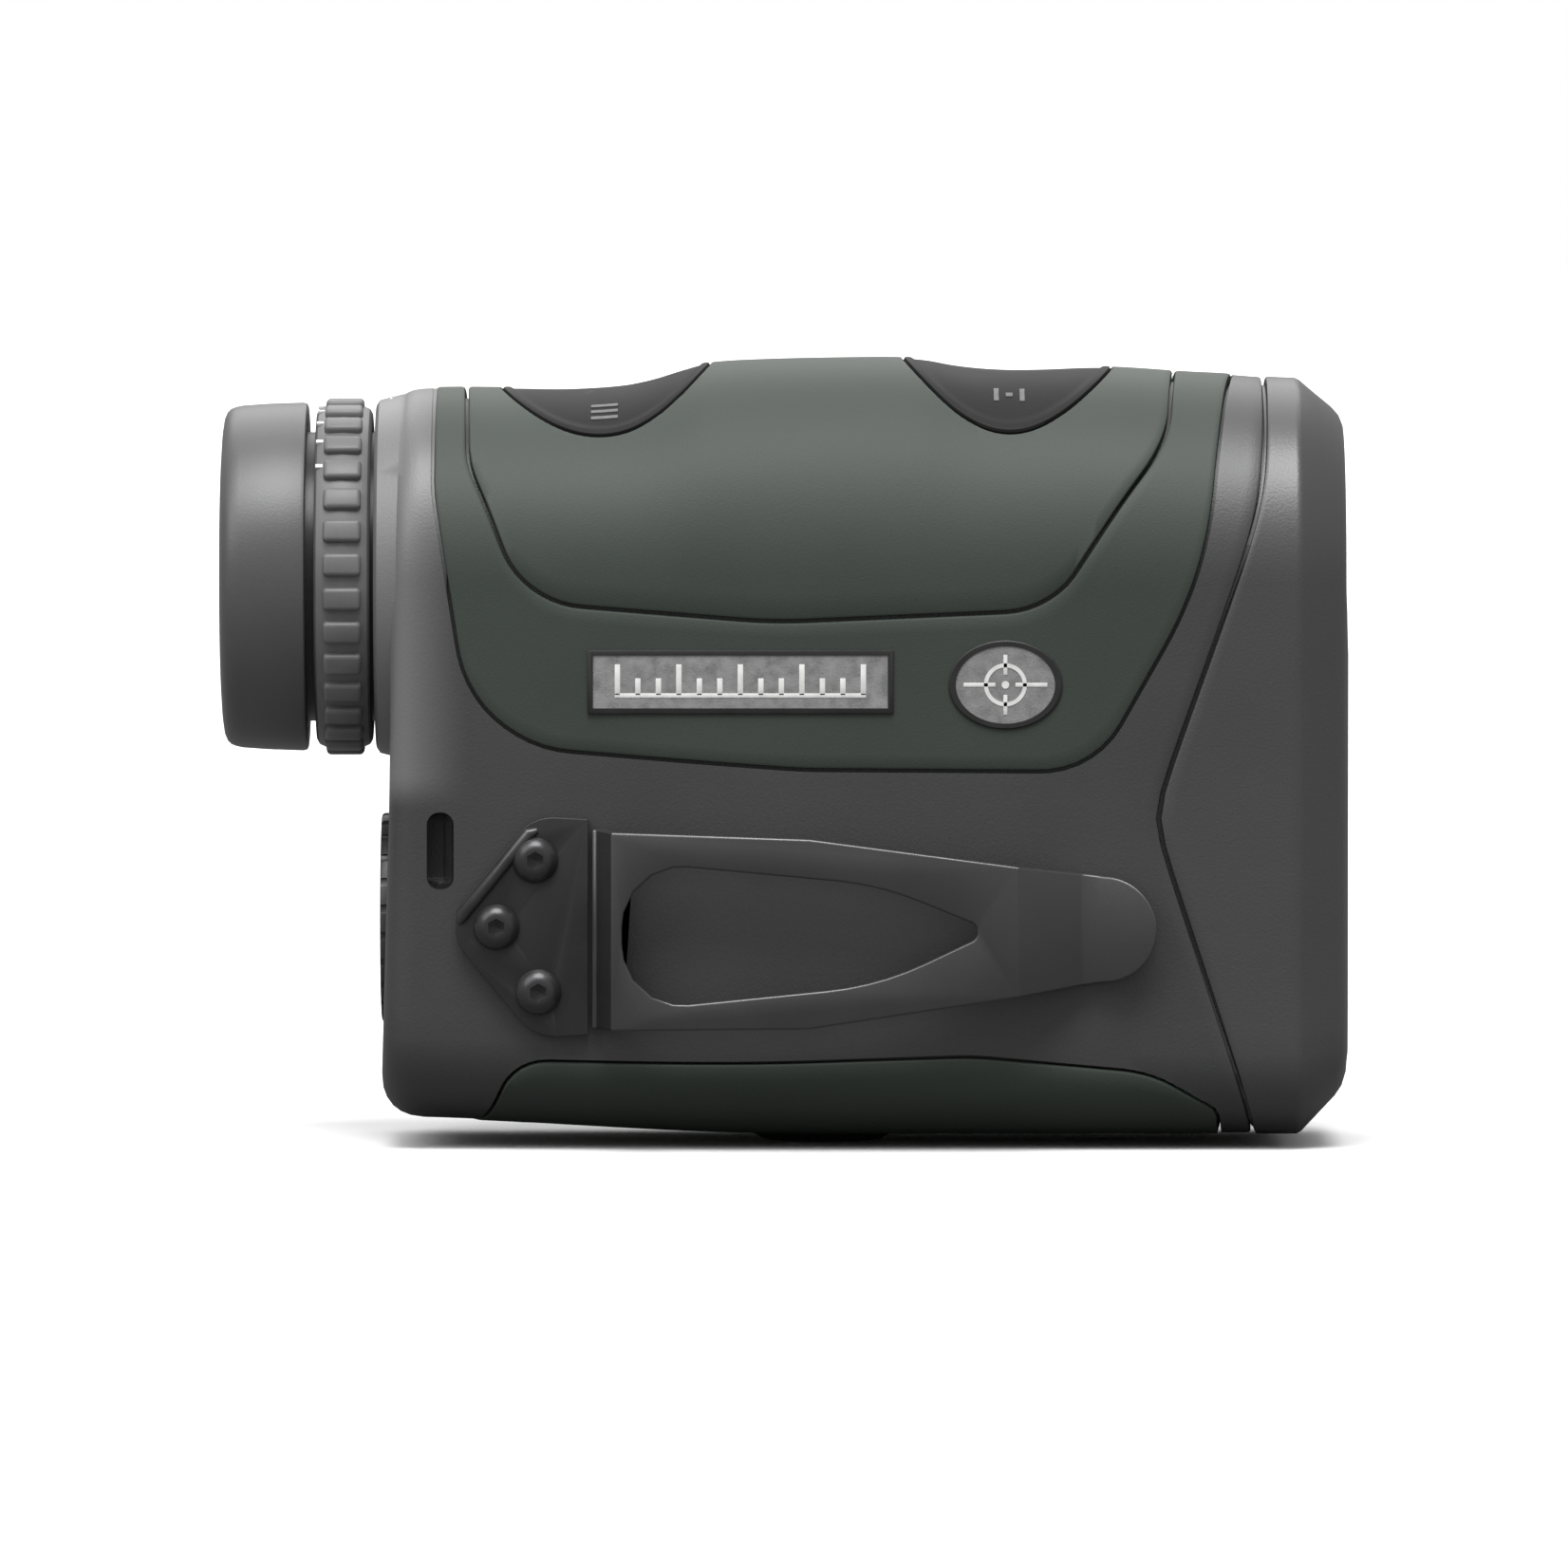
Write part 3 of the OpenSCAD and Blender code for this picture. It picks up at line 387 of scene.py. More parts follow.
cornerArc = body["floorCorner"] * pi / 2
halfRound = roofArc + sideLength + cornerArc + body["halfWidth"] - body["floorCorner"]


def smoothCurve(stations, x):  # a smooth line through the stations
    if x <= stations[0][0]:
        return stations[0][1]
    for i in range(len(stations) - 1):
        x1, y1 = stations[i]
        x2, y2 = stations[i + 1]
        if x <= x2:
            x0, y0 = stations[max(i - 1, 0)]
            x3, y3 = stations[min(i + 2, len(stations) - 1)]
            run = x2 - x1
            slope1 = (y2 - y0) / max(x2 - x0, 1e-6) * run
            slope2 = (y3 - y1) / max(x3 - x1, 1e-6) * run
            t = (x - x1) / run
            return ((2 * t ** 3 - 3 * t ** 2 + 1) * y1 + (t ** 3 - 2 * t ** 2 + t) * slope1
                    + (3 * t ** 2 - 2 * t ** 3) * y2 + (t ** 3 - t ** 2) * slope2)
    return stations[-1][1]


def softMax(a, b, k):
    return (a + b + sqrt((a - b) ** 2 + k * k)) / 2


def softMin(a, b, k):
    return (a + b - sqrt((a - b) ** 2 + k * k)) / 2


def clamp(value, low, high):
    return max(low, min(high, value))


def smoothStep(value):
    t = clamp(value, 0, 1)
    return t * t * (3 - 2 * t)


def roofHeight(x):
    return smoothCurve(body["roof"], x - wall)


def widthAt(x):
    return body["halfWidth"] - body["rearTuck"] * smoothStep((-18 - x) / 22)


def floorAt(x):
    return floor + body["floorRise"] * smoothStep(-x / 44) * clamp(-x / 44, 0, 1) ** 0.2


def sectionPoint(x, a):
    side = -1 if a > 0 else 1  # positive a runs down the clip side
    w = widthAt(x)
    r = body["floorCorner"]
    d = abs(a)
    if d <= roofArc:
        angle = d / roofArc * pi / 2
        y, z = w * sin(angle), axis + roofHeight(x) * cos(angle)
    elif d <= roofArc + sideLength:
        low = floorAt(x) - floor
        y, z = w, axis - (d - roofArc) * (1 - low / sideLength)
    elif d <= roofArc + sideLength + cornerArc:
        angle = (d - roofArc - sideLength) / cornerArc * pi / 2
        y, z = w - r * (1 - cos(angle)), floorAt(x) + r * (1 - sin(angle))
    else:
        rest = (d - roofArc - sideLength - cornerArc) / (halfRound - roofArc - sideLength - cornerArc)
        y, z = (w - r) * (1 - rest), floorAt(x)
    return Vector((x, side * y, z))


def bodyPoint(x, a, lift=0.0):  # in metres, lifted off the surface along its normal
    stepX = 0.2
    stepA = 0.15
    forward = sectionPoint(x + stepX, a) - sectionPoint(x - stepX, a)
    after = sectionPoint(x, clamp(a + stepA, -halfRound, halfRound))
    before = sectionPoint(x, clamp(a - stepA, -halfRound, halfRound))
    around = after - before if abs(a) >= stepA else Vector((0, -1, 0))
    normal = around.cross(forward).normalized()
    return (sectionPoint(x, a) + normal * lift) * mm


def heightToArc(x, z):  # where the height z lies on the clip side of the section
    if z > axis:
        return roofArc * acos(clamp((z - axis) / roofHeight(x), -1, 1)) / (pi / 2)
    return roofArc + (axis - z) / (1 - (floorAt(x) - floor) / sideLength)


seamLine = {  # two slopes that meet in a knee, cut off near the front
    "upperX": front - 11.4,
    "upperZ": axis + 0.7,
    "upperSlope": 0.37,
    "lowerX": front - 18.8,
    "lowerZ": axis - 28.0,
    "lowerSlope": 0.343,
    "farthest": front - 8.5,
    "kneeRound": 1.6,
    "topRound": 2.1,
}


def seamAt(z):
    s = seamLine
    upper = s["upperX"] - s["upperSlope"] * (s["upperZ"] - z)
    lower = s["lowerX"] + s["lowerSlope"] * (s["lowerZ"] - z)
    return softMin(softMax(upper, lower, s["kneeRound"]), s["farthest"], s["topRound"])


def seamOnSection(a):  # the seam's height depends on its own place, so it is found in a few rounds
    x = seamLine["upperX"]
    for turn in range(6):
        x = seamAt(sectionPoint(x, a).z)
    return x


def evenSteps(start, end, count):
    return [start + (end - start) * i / count for i in range(count + 1)]


def ringSamples():  # places round the section: roof, side, floor corner, floor, and back up the other side
    sideEnd = roofArc + sideLength
    cornerEnd = sideEnd + cornerArc
    half = evenSteps(0, roofArc, 26)[:-1] + evenSteps(roofArc, sideEnd, 18)[:-1]
    half += evenSteps(sideEnd, cornerEnd, 8)[:-1] + evenSteps(cornerEnd, halfRound, 4)
    return half + [-a for a in reversed(half[1:-1])]


aroundRing = ringSamples()


# mesh helpers
def deselectAll():
    if bpy.context.object and bpy.context.object.mode != "OBJECT":
        bpy.ops.object.mode_set(mode="OBJECT")
    bpy.ops.object.select_all(action="DESELECT")


def makeActive(obj):
    deselectAll()
    obj.select_set(True)
    bpy.context.view_layer.objects.active = obj


def settle(obj):  # the place goes into the mesh
    makeActive(obj)
    bpy.ops.object.transform_apply(location=True, rotation=True, scale=True)


def applyModifier(obj, kind, **values):
    makeActive(obj)
    modifier = obj.modifiers.new(kind.lower(), kind)
    for key, value in values.items():
        setattr(modifier, key, value)
    bpy.ops.object.modifier_apply(modifier=modifier.name)


def cut(obj, cutter, operation="DIFFERENCE"):
    applyModifier(obj, "BOOLEAN", operation=operation, object=cutter, solver="EXACT")
    bpy.data.objects.remove(cutter)


def join(obj, extra):  # welds another closed shape on
    cut(obj, extra, "UNION")


def roundEdges(obj, width, segments=2, angle=30):
    applyModifier(obj, "BEVEL", width=width * mm, segments=segments, limit_method="ANGLE",
                  angle_limit=radians(angle), harden_normals=False)


def mergeAndTurnOut(obj):
    makeActive(obj)
    bpy.ops.object.mode_set(mode="EDIT")
    bpy.ops.mesh.select_all(action="SELECT")
    bpy.ops.mesh.remove_doubles(threshold=1e-6)
    bpy.ops.mesh.normals_make_consistent(inside=False)
    bpy.ops.object.mode_set(mode="OBJECT")


def finishPiece(obj, look, bodyName, slot, *replaced, angle=35):
    obj.data.materials.clear()
    obj.data.materials.append(looks[look])
    makeActive(obj)
    bpy.ops.object.shade_smooth_by_angle(angle=radians(angle))
    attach(obj, bodyName)
    if replaced:
        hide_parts(*replaced)
    return obj


def meshFrom(name, points, faces):
    mesh = bpy.data.meshes.new(name)
    mesh.from_pydata([tuple(p) for p in points], [], faces)
    obj = bpy.data.objects.new(name, mesh)
    scene.collection.objects.link(obj)
    mergeAndTurnOut(obj)
    return obj


def loftRings(name, rings, closed=False, skip=None):
    # rings of equal count, capped unless the last meets the first; skip leaves one strip out
    count = len(rings[0])
    points = [p for ring in rings for p in ring]
    faces = []
    for i in range(len(rings) - (0 if closed else 1)):
        if i == skip:
            continue
        near, away = i * count, (i + 1) % len(rings) * count
        for j in range(count):
            k = (j + 1) % count
            faces.append((near + j, near + k, away + k, away + j))
    if not closed:
        faces.append(tuple(range(count)))
        faces.append(tuple((len(rings) - 1) * count + j for j in range(count)))
    return meshFrom(name, points, faces)


lieAlong = {"X": (0, pi / 2, 0), "Y": (pi / 2, 0, 0), "Z": (0, 0, 0)}


def along(axisName, distance):  # a move along one axis
    return tuple(distance if name == axisName else 0.0 for name in "XYZ")


def onAxis(axisName, distance, centre):
    u, v = centre
    return {"X": (distance, u, v), "Y": (u, distance, v), "Z": (u, v, distance)}[axisName]


def turnedPiece(name, profile, centre, axisName="X", sides=96, closed=True):
    # profile is (place along the axis, radius) in millimetres; centre holds the two other coordinates
    x, r = profile[0]
    start = onAxis(axisName, x * mm, centre)
    deselectAll()
    bpy.ops.mesh.primitive_circle_add(vertices=sides, radius=r * mm, fill_type="NOTHING", location=start,
                                      rotation=lieAlong[axisName])
    obj = bpy.context.object
    obj.name = obj.data.name = name
    settle(obj)
    bpy.ops.object.mode_set(mode="EDIT")
    bpy.ops.mesh.select_all(action="SELECT")
    if not closed:
        bpy.ops.mesh.edge_face_add()
    for nextX, nextR in profile[1:] + (profile[:1] if closed else []):
        move = {"value": along(axisName, (nextX - x) * mm)}
        if closed:
            bpy.ops.mesh.extrude_edges_move(TRANSFORM_OT_translate=move)
        else:
            bpy.ops.mesh.extrude_region_move(TRANSFORM_OT_translate=move)
        growth = tuple(1 if name == axisName else nextR / r for name in "XYZ")
        bpy.ops.transform.resize(value=growth, center_override=onAxis(axisName, nextX * mm, centre))
        x, r = nextX, nextR
    mergeAndTurnOut(obj)
    return obj


def addBox(name, low, high, ease=0.0, segments=2):  # corners in millimetres
    deselectAll()
    place = [(a + b) / 2 * mm for a, b in zip(low, high)]
    size = [(b - a) * mm for a, b in zip(low, high)]
    bpy.ops.mesh.primitive_cube_add(size=1, location=place, scale=size)
    obj = bpy.context.object
    obj.name = obj.data.name = name
    settle(obj)
    if ease:
        roundEdges(obj, ease, segments)
    return obj


def turnedCopy(obj, name, angle, axisName, centre):  # a copy with its own mesh, turned about a line
    twin = bpy.data.objects.new(name, obj.data.copy())
    scene.collection.objects.link(twin)
    pivot = Matrix.Translation(onAxis(axisName, 0, centre))
    twin.data.transform(pivot @ Matrix.Rotation(angle, 4, axisName) @ pivot.inverted())
    return twin


def movedCopy(obj, name, shift):
    twin = bpy.data.objects.new(name, obj.data.copy())
    scene.collection.objects.link(twin)
    twin.data.transform(Matrix.Translation(shift))
    return twin


def gather(name, pieces):  # many meshes become one piece
    deselectAll()
    for piece in pieces:
        piece.select_set(True)
    bpy.context.view_layer.objects.active = pieces[0]
    bpy.ops.object.join()
    pieces[0].name = pieces[0].data.name = name
    return pieces[0]


def roundedCopy(node, name, width, segments=2, angle=30):  # a CAD shape with its edges eased
    twin = bpy.data.objects.new(name, bpy.data.objects[node].data.copy())
    scene.collection.objects.link(twin)
    makeActive(twin)
    bpy.ops.object.mode_set(mode="EDIT")
    bpy.ops.mesh.select_all(action="SELECT")
    bpy.ops.mesh.remove_doubles(threshold=2e-6)
    bpy.ops.mesh.dissolve_limited(angle_limit=radians(1.5))
    bpy.ops.object.mode_set(mode="OBJECT")
    roundEdges(twin, width, segments, angle)
    return twin


# outlines on the body's surface, as (x, a) pairs
def roundedLine(corners):  # (u, v, radius) corners; the ends stay sharp
    line = [Vector(corners[0][:2])]
    for before, corner, after in zip(corners, corners[1:], corners[2:]):
        p = Vector(corner[:2])
        back = Vector(before[:2]) - p
        ahead = Vector(after[:2]) - p
        half = back.angle(ahead) / 2
        reach = min(corner[2] / tan(half), back.length * 0.49, ahead.length * 0.49)
        r = reach * tan(half)
        if r < 0.01:
            line.append(p)
            continue
        centre = p + (back.normalized() + ahead.normalized()).normalized() * r / sin(half)
        first = (p + back.normalized() * reach - centre).normalized()
        last = (p + ahead.normalized() * reach - centre).normalized()
        for i in range(11):
            line.append(centre + first.lerp(last, i / 10).normalized() * r)
    line.append(Vector(corners[-1][:2]))
    return line


def evenLine(line, count):
    lengths = [0.0]
    for p, q in zip(line, line[1:]):
        lengths.append(lengths[-1] + (q - p).length)
    points = []
    k = 0
    for i in range(count + 1):
        target = lengths[-1] * i / count
        while k < len(line) - 2 and lengths[k + 1] < target:
            k += 1
        run = max(lengths[k + 1] - lengths[k], 1e-9)
        points.append(line[k].lerp(line[k + 1], clamp((target - lengths[k]) / run, 0, 1)))
    return points


def bothSides(half):  # a line from one end of the middle to the other, mirrored round
    return half + [Vector((p.x, -p.y)) for p in reversed(half[1:-1])]


def pushedOut(outline, gap):  # the outline moved outward, whichever way round it runs
    moved = []
    for i, p in enumerate(outline):
        tangent = outline[(i + 1) % len(outline)] - outline[i - 1]
        moved.append(p + Vector((tangent.y, -tangent.x)).normalized() * gap)
    area = sum(a.x * b.y - a.y * b.x for a, b in zip(outline, outline[1:] + outline[:1]))
    if area < 0:
        moved = [p * 2 - q for p, q in zip(outline, moved)]
    return moved


edgeTurn = 0.29  # where the middle of a rounded edge lies, as a share of its width


def patchSection(reach, lift, depth, edge, inner, steps):
    # (share of the way in, lift) pairs over the top, from the outer edge to the inner
    e = edge / max(reach, edge * 3)
    turnLift = lift - edgeTurn * edge
    path = [(0, lift - depth), (0, lift - edge), (edgeTurn * e, turnLift), (e, lift)]
    if inner:
        path += [(e + (1 - 2 * e) * i / steps, lift) for i in range(1, steps)]
        path += [(1 - e, lift), (1 - edgeTurn * e, turnLift), (1, lift - edge), (1, lift - depth)]
        path += [(1 - i / steps, lift - depth) for i in range(1, steps)]
    else:
        path += [(e + (1 - e) * i / steps, lift) for i in range(1, steps + 1)]
        path += [(1 - i / steps, lift - depth) for i in range(steps)]
    return path


def surfacePatch(name, point, outline, middle, lift, depth, edge, steps=9, inner=False):
    # a slab that lies on the surface between an outline and its middle, or an inner outline
    sections = [patchSection((q - p).length, lift, depth, edge, inner, steps)
                for p, q in zip(outline, middle)]
    rings = []
    for k in range(len(sections[0])):
        ring = []
        for p, q, path in zip(outline, middle, sections):
            share, height = path[k]
            place = p.lerp(q, share)
            ring.append(point(place.x, place.y, height))
        rings.append(ring)
    wallStrip = len(rings) - steps - 1  # both skins close on the middle line, so no wall is wanted there
    return loftRings(name, rings, closed=True, skip=None if inner else wallStrip)


def underPoint(x, b, lift=0.0):  # b is counted from the middle of the floor
    sign = 1 if b >= 0 else -1
    return bodyPoint(x, sign * (halfRound - abs(b)), lift)


# green armour: a collar band round a top panel, and a tray under the floor
rear = wall
armour = {
    # outlines as (x, height, corner radius), from the middle of the roof or floor and back to it
    "band": [(rear + 5, None, 0), (rear + 5, axis + 9, 24), (rear + 9, axis - 16, 12),
             (rear + 42, axis - 18.6, 60), (front - 26, axis - 18.8, 9), (front - 14.8, axis + 1, 40),
             (front - 11.8, None, 0)],
    "panel": [(rear + 8.2, None, 0), (rear + 8.5, axis + 12, 15), (rear + 14, axis - 1.8, 9),
              (rear + 39, axis - 3.8, 60), (front - 30.4, axis - 2.6, 9), (front - 18.6, axis + 14, 16),
              (front - 17.7, None, 0)],
    "tray": [(rear + 5.4, None, 0), (rear + 13, floor + 7.7, 5), (front - 38, floor + 8.1, 30),
             (front - 20, floor + 6.4, 12), (front - 13.6, floor + 2, 2), (front - 12.8, None, 0)],
    "groove": 0.34,
    "thick": 1.2,
    "clear": 0.1,  # left under the armour in its pocket
    "edge": 0.3,
    "samples": 110,
    "inset": 9,  # how far inside its ends the middle line stops
    "trayInset": 8,
}


def wrapCorners(corners, under=False):
    wrapped = []
    for x, z, r in corners:
        if z is None:
            wrapped.append((x, 0, r))
        elif under:
            wrapped.append((x, halfRound - heightToArc(x, z), r))
        else:
            wrapped.append((x, heightToArc(x, z), r))
    return wrapped


def armourOutline(name):
    line = roundedLine(wrapCorners(armour[name], under=name == "tray"))
    return bothSides(evenLine(line, armour["samples"]))


def middleOf(outline, inset):  # the line down the middle that an outline closes on
    low = min(p.x for p in outline) + inset
    high = max(p.x for p in outline) - inset
    return [Vector((clamp(p.x, low, high), 0)) for p in outline]


bandOutline = armourOutline("band")
panelOutline = armourOutline("panel")
trayOutline = armourOutline("tray")


def buildArmour(a):
    depth = a["thick"] - a["clear"]
    edge = a["edge"]
    inside = pushedOut(panelOutline, a["groove"])
    band = surfacePatch("armourBand", bodyPoint, bandOutline, inside, 0, depth, edge, 12, inner=True)
    middle = middleOf(panelOutline, a["inset"])
    panel = surfacePatch("topPanel", bodyPoint, panelOutline, middle, 0, depth, edge, 16)
    middle = middleOf(trayOutline, a["trayInset"])
    tray = surfacePatch("lowerArmour", underPoint, trayOutline, middle, 0, depth, edge, 16)
    return band, panel, tray


def pocketCutter(name, point, outline, a):
    wide = pushedOut(outline, a["groove"])
    above = 3
    return surfacePatch(name, point, wide, middleOf(wide, a["inset"]), above, above + a["thick"], 0.01, 16)


# housing shell and front bezel, split by the leaning seam
shell = {
    "lift": -0.12,
    "wall": 2.8,
    "seamGap": 0.4,
    "edge": 0.3,
    "lipLength": 1.6,  # the bezel's lip reaches this far into the housing
    "lipDrop": 1.45,
    "lipEnd": 0.6,
    "lipGap": 0.15,
    "rearRound": 3.0,
    "footGrowth": 0.4,  # the rear corner is larger by this share at the floor
    "noseGrowth": 0.3,
    "fullness": 0.85,  # below 1 makes the rear corner flatter than an arc
    "stations": 74,
    "nose": [(5.4, 0), (4.9, -0.22), (3.4, -1.45), (1.6, -2.9), (0.9, -3.7), (0.45, -4.8), (0.3, -6.2)],
    "noseWall": 5,
}


def rearAt(z):  # the rear wall leans back a little towards its foot
    return wall + 0.6 - 0.026 * clamp(axis - 18.5 - z, 0, 40)


def footShare(z):  # 0 at mid height, 1 at the floor
    return smoothStep((floor + 12 - z) / 11)


def rearCorner(z):  # length of the rear corner's rounding
    return shell["rearRound"] * (1 + shell["footGrowth"] * footShare(z))


def shellRing(place, lift, growth=0.0):  # growth is how much more the lift counts at the floor
    ring = []
    for a in aroundRing:
        z = sectionPoint(front - 20, a).z
        ring.append(bodyPoint(place(a, z), a, lift * (1 + growth * footShare(z))))
    return ring


def between(start, end, share):
    return start + (end - start) * share


def buildHousing(s):  # from the inner face of the rear wall, forward, over the seam's edge and back
    seam = {a: seamOnSection(a) for a in aroundRing}
    inside = wall + s["wall"]
    toStep = s["lipLength"] + s["lipEnd"]
    lipLift = s["lipGap"] - s["lipDrop"]
    rings = [shellRing(lambda a, z: inside, -s["wall"] - 3)]
    for t in evenSteps(0, 1, 24):
        rings.append(shellRing(lambda a, z: between(inside, seam[a] - toStep, t), -s["wall"]))
    rings.append(shellRing(lambda a, z: seam[a] - toStep, lipLift))
    rings.append(shellRing(lambda a, z: seam[a], lipLift))
    rings.append(shellRing(lambda a, z: seam[a], s["lift"] - s["edge"]))
    rings.append(shellRing(lambda a, z: seam[a] - edgeTurn * s["edge"], s["lift"] - edgeTurn * s["edge"]))
    for t in reversed(evenSteps(0, 1, s["stations"])):
        rings.append(shellRing(lambda a, z: between(rearAt(z) + rearCorner(z), seam[a] - s["edge"], t),
                               s["lift"]))
    for angle in evenSteps(0, pi / 2, 6)[1:]:
        back = 1 - sin(angle) ** s["fullness"]
        drop = s["rearRound"] * (1 - cos(angle) ** s["fullness"])
        rings.append(shellRing(lambda a, z: rearAt(z) + rearCorner(z) * back, s["lift"] - drop,
                               s["footGrowth"]))
    return loftRings("mainHousing", rings)


def buildBezel(s):  # from the inner edge of the nose back to the lip, over the seam and forward again
    seam = {a: seamOnSection(a) + s["seamGap"] for a in aroundRing}
    noseInside = front - s["noseWall"]
    start = front - s["nose"][0][0]
    rings = [shellRing(lambda a, z: noseInside, -s["wall"] - extra) for extra in (4, 2)]
    for t in reversed(evenSteps(0, 1, 5)):
        rings.append(shellRing(lambda a, z: between(seam[a], noseInside - 2, t), -s["wall"]))
    rings.append(shellRing(lambda a, z: seam[a] - s["lipLength"], -s["wall"]))
    rings.append(shellRing(lambda a, z: seam[a] - s["lipLength"], -s["lipDrop"]))
    rings.append(shellRing(lambda a, z: seam[a], -s["lipDrop"]))
    rings.append(shellRing(lambda a, z: seam[a], -s["edge"]))
    rings.append(shellRing(lambda a, z: seam[a] + edgeTurn * s["edge"], -edgeTurn * s["edge"]))
    for t in evenSteps(0, 1, 12):
        rings.append(shellRing(lambda a, z: between(seam[a] + s["edge"], start, t), 0))
    for back, lift in s["nose"][1:]:
        rings.append(shellRing(lambda a, z: front - back, lift, s["noseGrowth"]))
    return loftRings("frontBezel", rings)


housing = buildHousing(shell)
bezel = buildBezel(shell)
band, panel, tray = buildArmour(armour)
print("body skins lofted")
cut(housing, pocketCutter("bandPocket", bodyPoint, bandOutline, armour))
cut(housing, pocketCutter("trayPocket", underPoint, trayOutline, armour))
cut(bezel, pocketCutter("trayPocketFront", underPoint, trayOutline, armour))
print("armour pockets cut")

# collar, tripod boss and the openings in the housing
eyeCentre = (0, axisZ)
collarRear = collarX / mm
collar = [(collarRear, 13.6), (collarRear, 17.3), (collarRear + 0.35, 17.85), (collarRear + 2.5, 18.4),
          (collarRear + 6.2, 19.05), (collarRear + 7.4, 19.0), (collarRear + 7.4, 13.6)]
boss = [(0, 5.2), (0, 6.1), (0.15, 6.35), (1.0, 7.9), (1.5, 8.1), (3.6, 8.1), (3.6, 5.2)]
lower = lowerZ / mm
slot = {"x": (rear + 4.3, rear + 7.0), "z": (lower + 3.7, lower + 11.5), "y": (-22, -14.5), "round": 1.25,
        "wayY": (-16.8, -14.4), "wayInset": 0.6}
cap = {"radius": 10.85, "recess": 1.85, "bore": 8.6}
barrelBore = 14.7
screwPlaces = [(-5.3, 6.9), (-9.2, 0.2), (-5.0, -6.3)]  # from the clip's fold, in X and Z
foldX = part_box("clip_plate")[1][0] / mm
clipZ = lower - 0.1

join(housing, turnedPiece("collar", collar, eyeCentre))
join(housing, turnedPiece("tripodBoss", boss, (0, 0), "Z", 72))


def cutLanyardSlot(s):  # a slot in the side that turns out through the rear wall
    (x1, x2), (y1, y2), (z1, z2) = s["x"], s["y"], s["z"]
    inset = s["wayInset"]
    join(housing, addBox("slotBlock", (rear + 1, -18.6, z1 - 2), (rear + 10, -13.2, z2 + 2)))
    cut(housing, addBox("slotCutter", (x1, y1, z1), (x2, y2, z2), s["round"], 5))
    cut(housing, addBox("slotWay", (rear - 2, s["wayY"][0], z1 + inset),
                        (x2 - inset, s["wayY"][1], z2 - inset), inset, 3))


cutLanyardSlot(slot)
barrelHole = [(collarRear - 1, barrelBore), (rear + 8, barrelBore)]
cut(housing, turnedPiece("barrelHole", barrelHole, eyeCentre, closed=False))
capCutter = [(rear - 3, cap["radius"]), (rear + cap["recess"], cap["radius"]),
             (rear + cap["recess"], cap["bore"]), (rear + 7, cap["bore"])]
cut(housing, turnedPiece("capCutter", capCutter, (0, lowerZ), closed=False))
cut(tray, turnedPiece("bossHole", [(-2, 8.4), (4, 8.4)], (0, 0), "Z", 72, closed=False))

lensHole = [(front + 1, 16.2), (front - 0.2, 15.7), (front - 1.4, 14.55), (front - 8, 14.5)]
laserHole = [(front + 1, 11.8), (front - 0.5, 11.3), (front - 1.4, 10.7), (front - 8, 10.65)]
cut(bezel, turnedPiece("lensHole", lensHole, eyeCentre, closed=False))
cut(bezel, turnedPiece("laserHole", laserHole, (0, lowerZ), closed=False))
print("openings cut")


# buttons: oval patches that sink into the roof
button = {
    "gap": 0.32,
    "undercut": 0.6,  # the press is straight down, so the hole widens below its lip
    "lip": -0.3,
    "thick": 1.5,
    "hole": 2.5,
    "rimLift": 0.05,
    "lift": -0.05,
    "rimDrop": 0.1,
    "rimShare": 0.14,  # where the dished face starts, as a share of the way to the middle
    "dish": 0.06,
}


def ovalOutline(box, grow, samples=96):  # an oval seen from above, laid on the roof, and its middle
    cx = (box[0][0] + box[1][0]) / 2 / mm
    long = (box[1][0] - box[0][0]) / 2 / mm + grow
    wide = (box[1][1] - box[0][1]) / 2 / mm + grow
    outline = []
    for i in range(samples):
        turn = 2 * pi * i / samples
        x = cx + long * cos(turn)
        y = wide * sin(turn)
        outline.append(Vector((x, roofArc * asin(clamp(y / widthAt(x), -1, 1)) / (pi / 2))))
    return outline, [Vector((cx, 0))] * samples


def buildButton(node, b):
    outline, middle = ovalOutline(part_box(node), 0)
    rings = []
    rim = b["rimLift"]
    face = b["lift"] - b["rimDrop"]
    under = b["lift"] - b["thick"]
    path = [(0, under), (0, rim - 0.3), (0.012, rim - 0.06), (0.035, rim), (0.07, rim - 0.02), (0.1, face)]
    faceShares = evenSteps(b["rimShare"], 1, 14)
    path += [(t, face - b["dish"] * smoothStep((t - b["rimShare"]) / 0.5)) for t in faceShares]
    topRings = len(path)
    path += [(1 - i / 8, under) for i in range(8)]
    for share, lift in path:
        places = [p.lerp(q, share) for p, q in zip(outline, middle)]
        rings.append([bodyPoint(p.x, p.y, lift) for p in places])
    piece = loftRings(node.replace("_b", "B"), rings, closed=True, skip=topRings - 1)
    for target in (housing, panel):
        for grow, top in ((b["gap"], b["hole"]), (b["gap"] + b["undercut"], b["lip"])):
            wide, centre = ovalOutline(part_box(node), grow)
            cut(target, surfacePatch("buttonHole", bodyPoint, wide, centre, top, top + b["hole"], 0.01, 14))
    return finishPiece(piece, "button", node, "charcoal_polymer", node)


barLook = {"lift": -0.1, "depth": 0.35, "edge": 0.03}


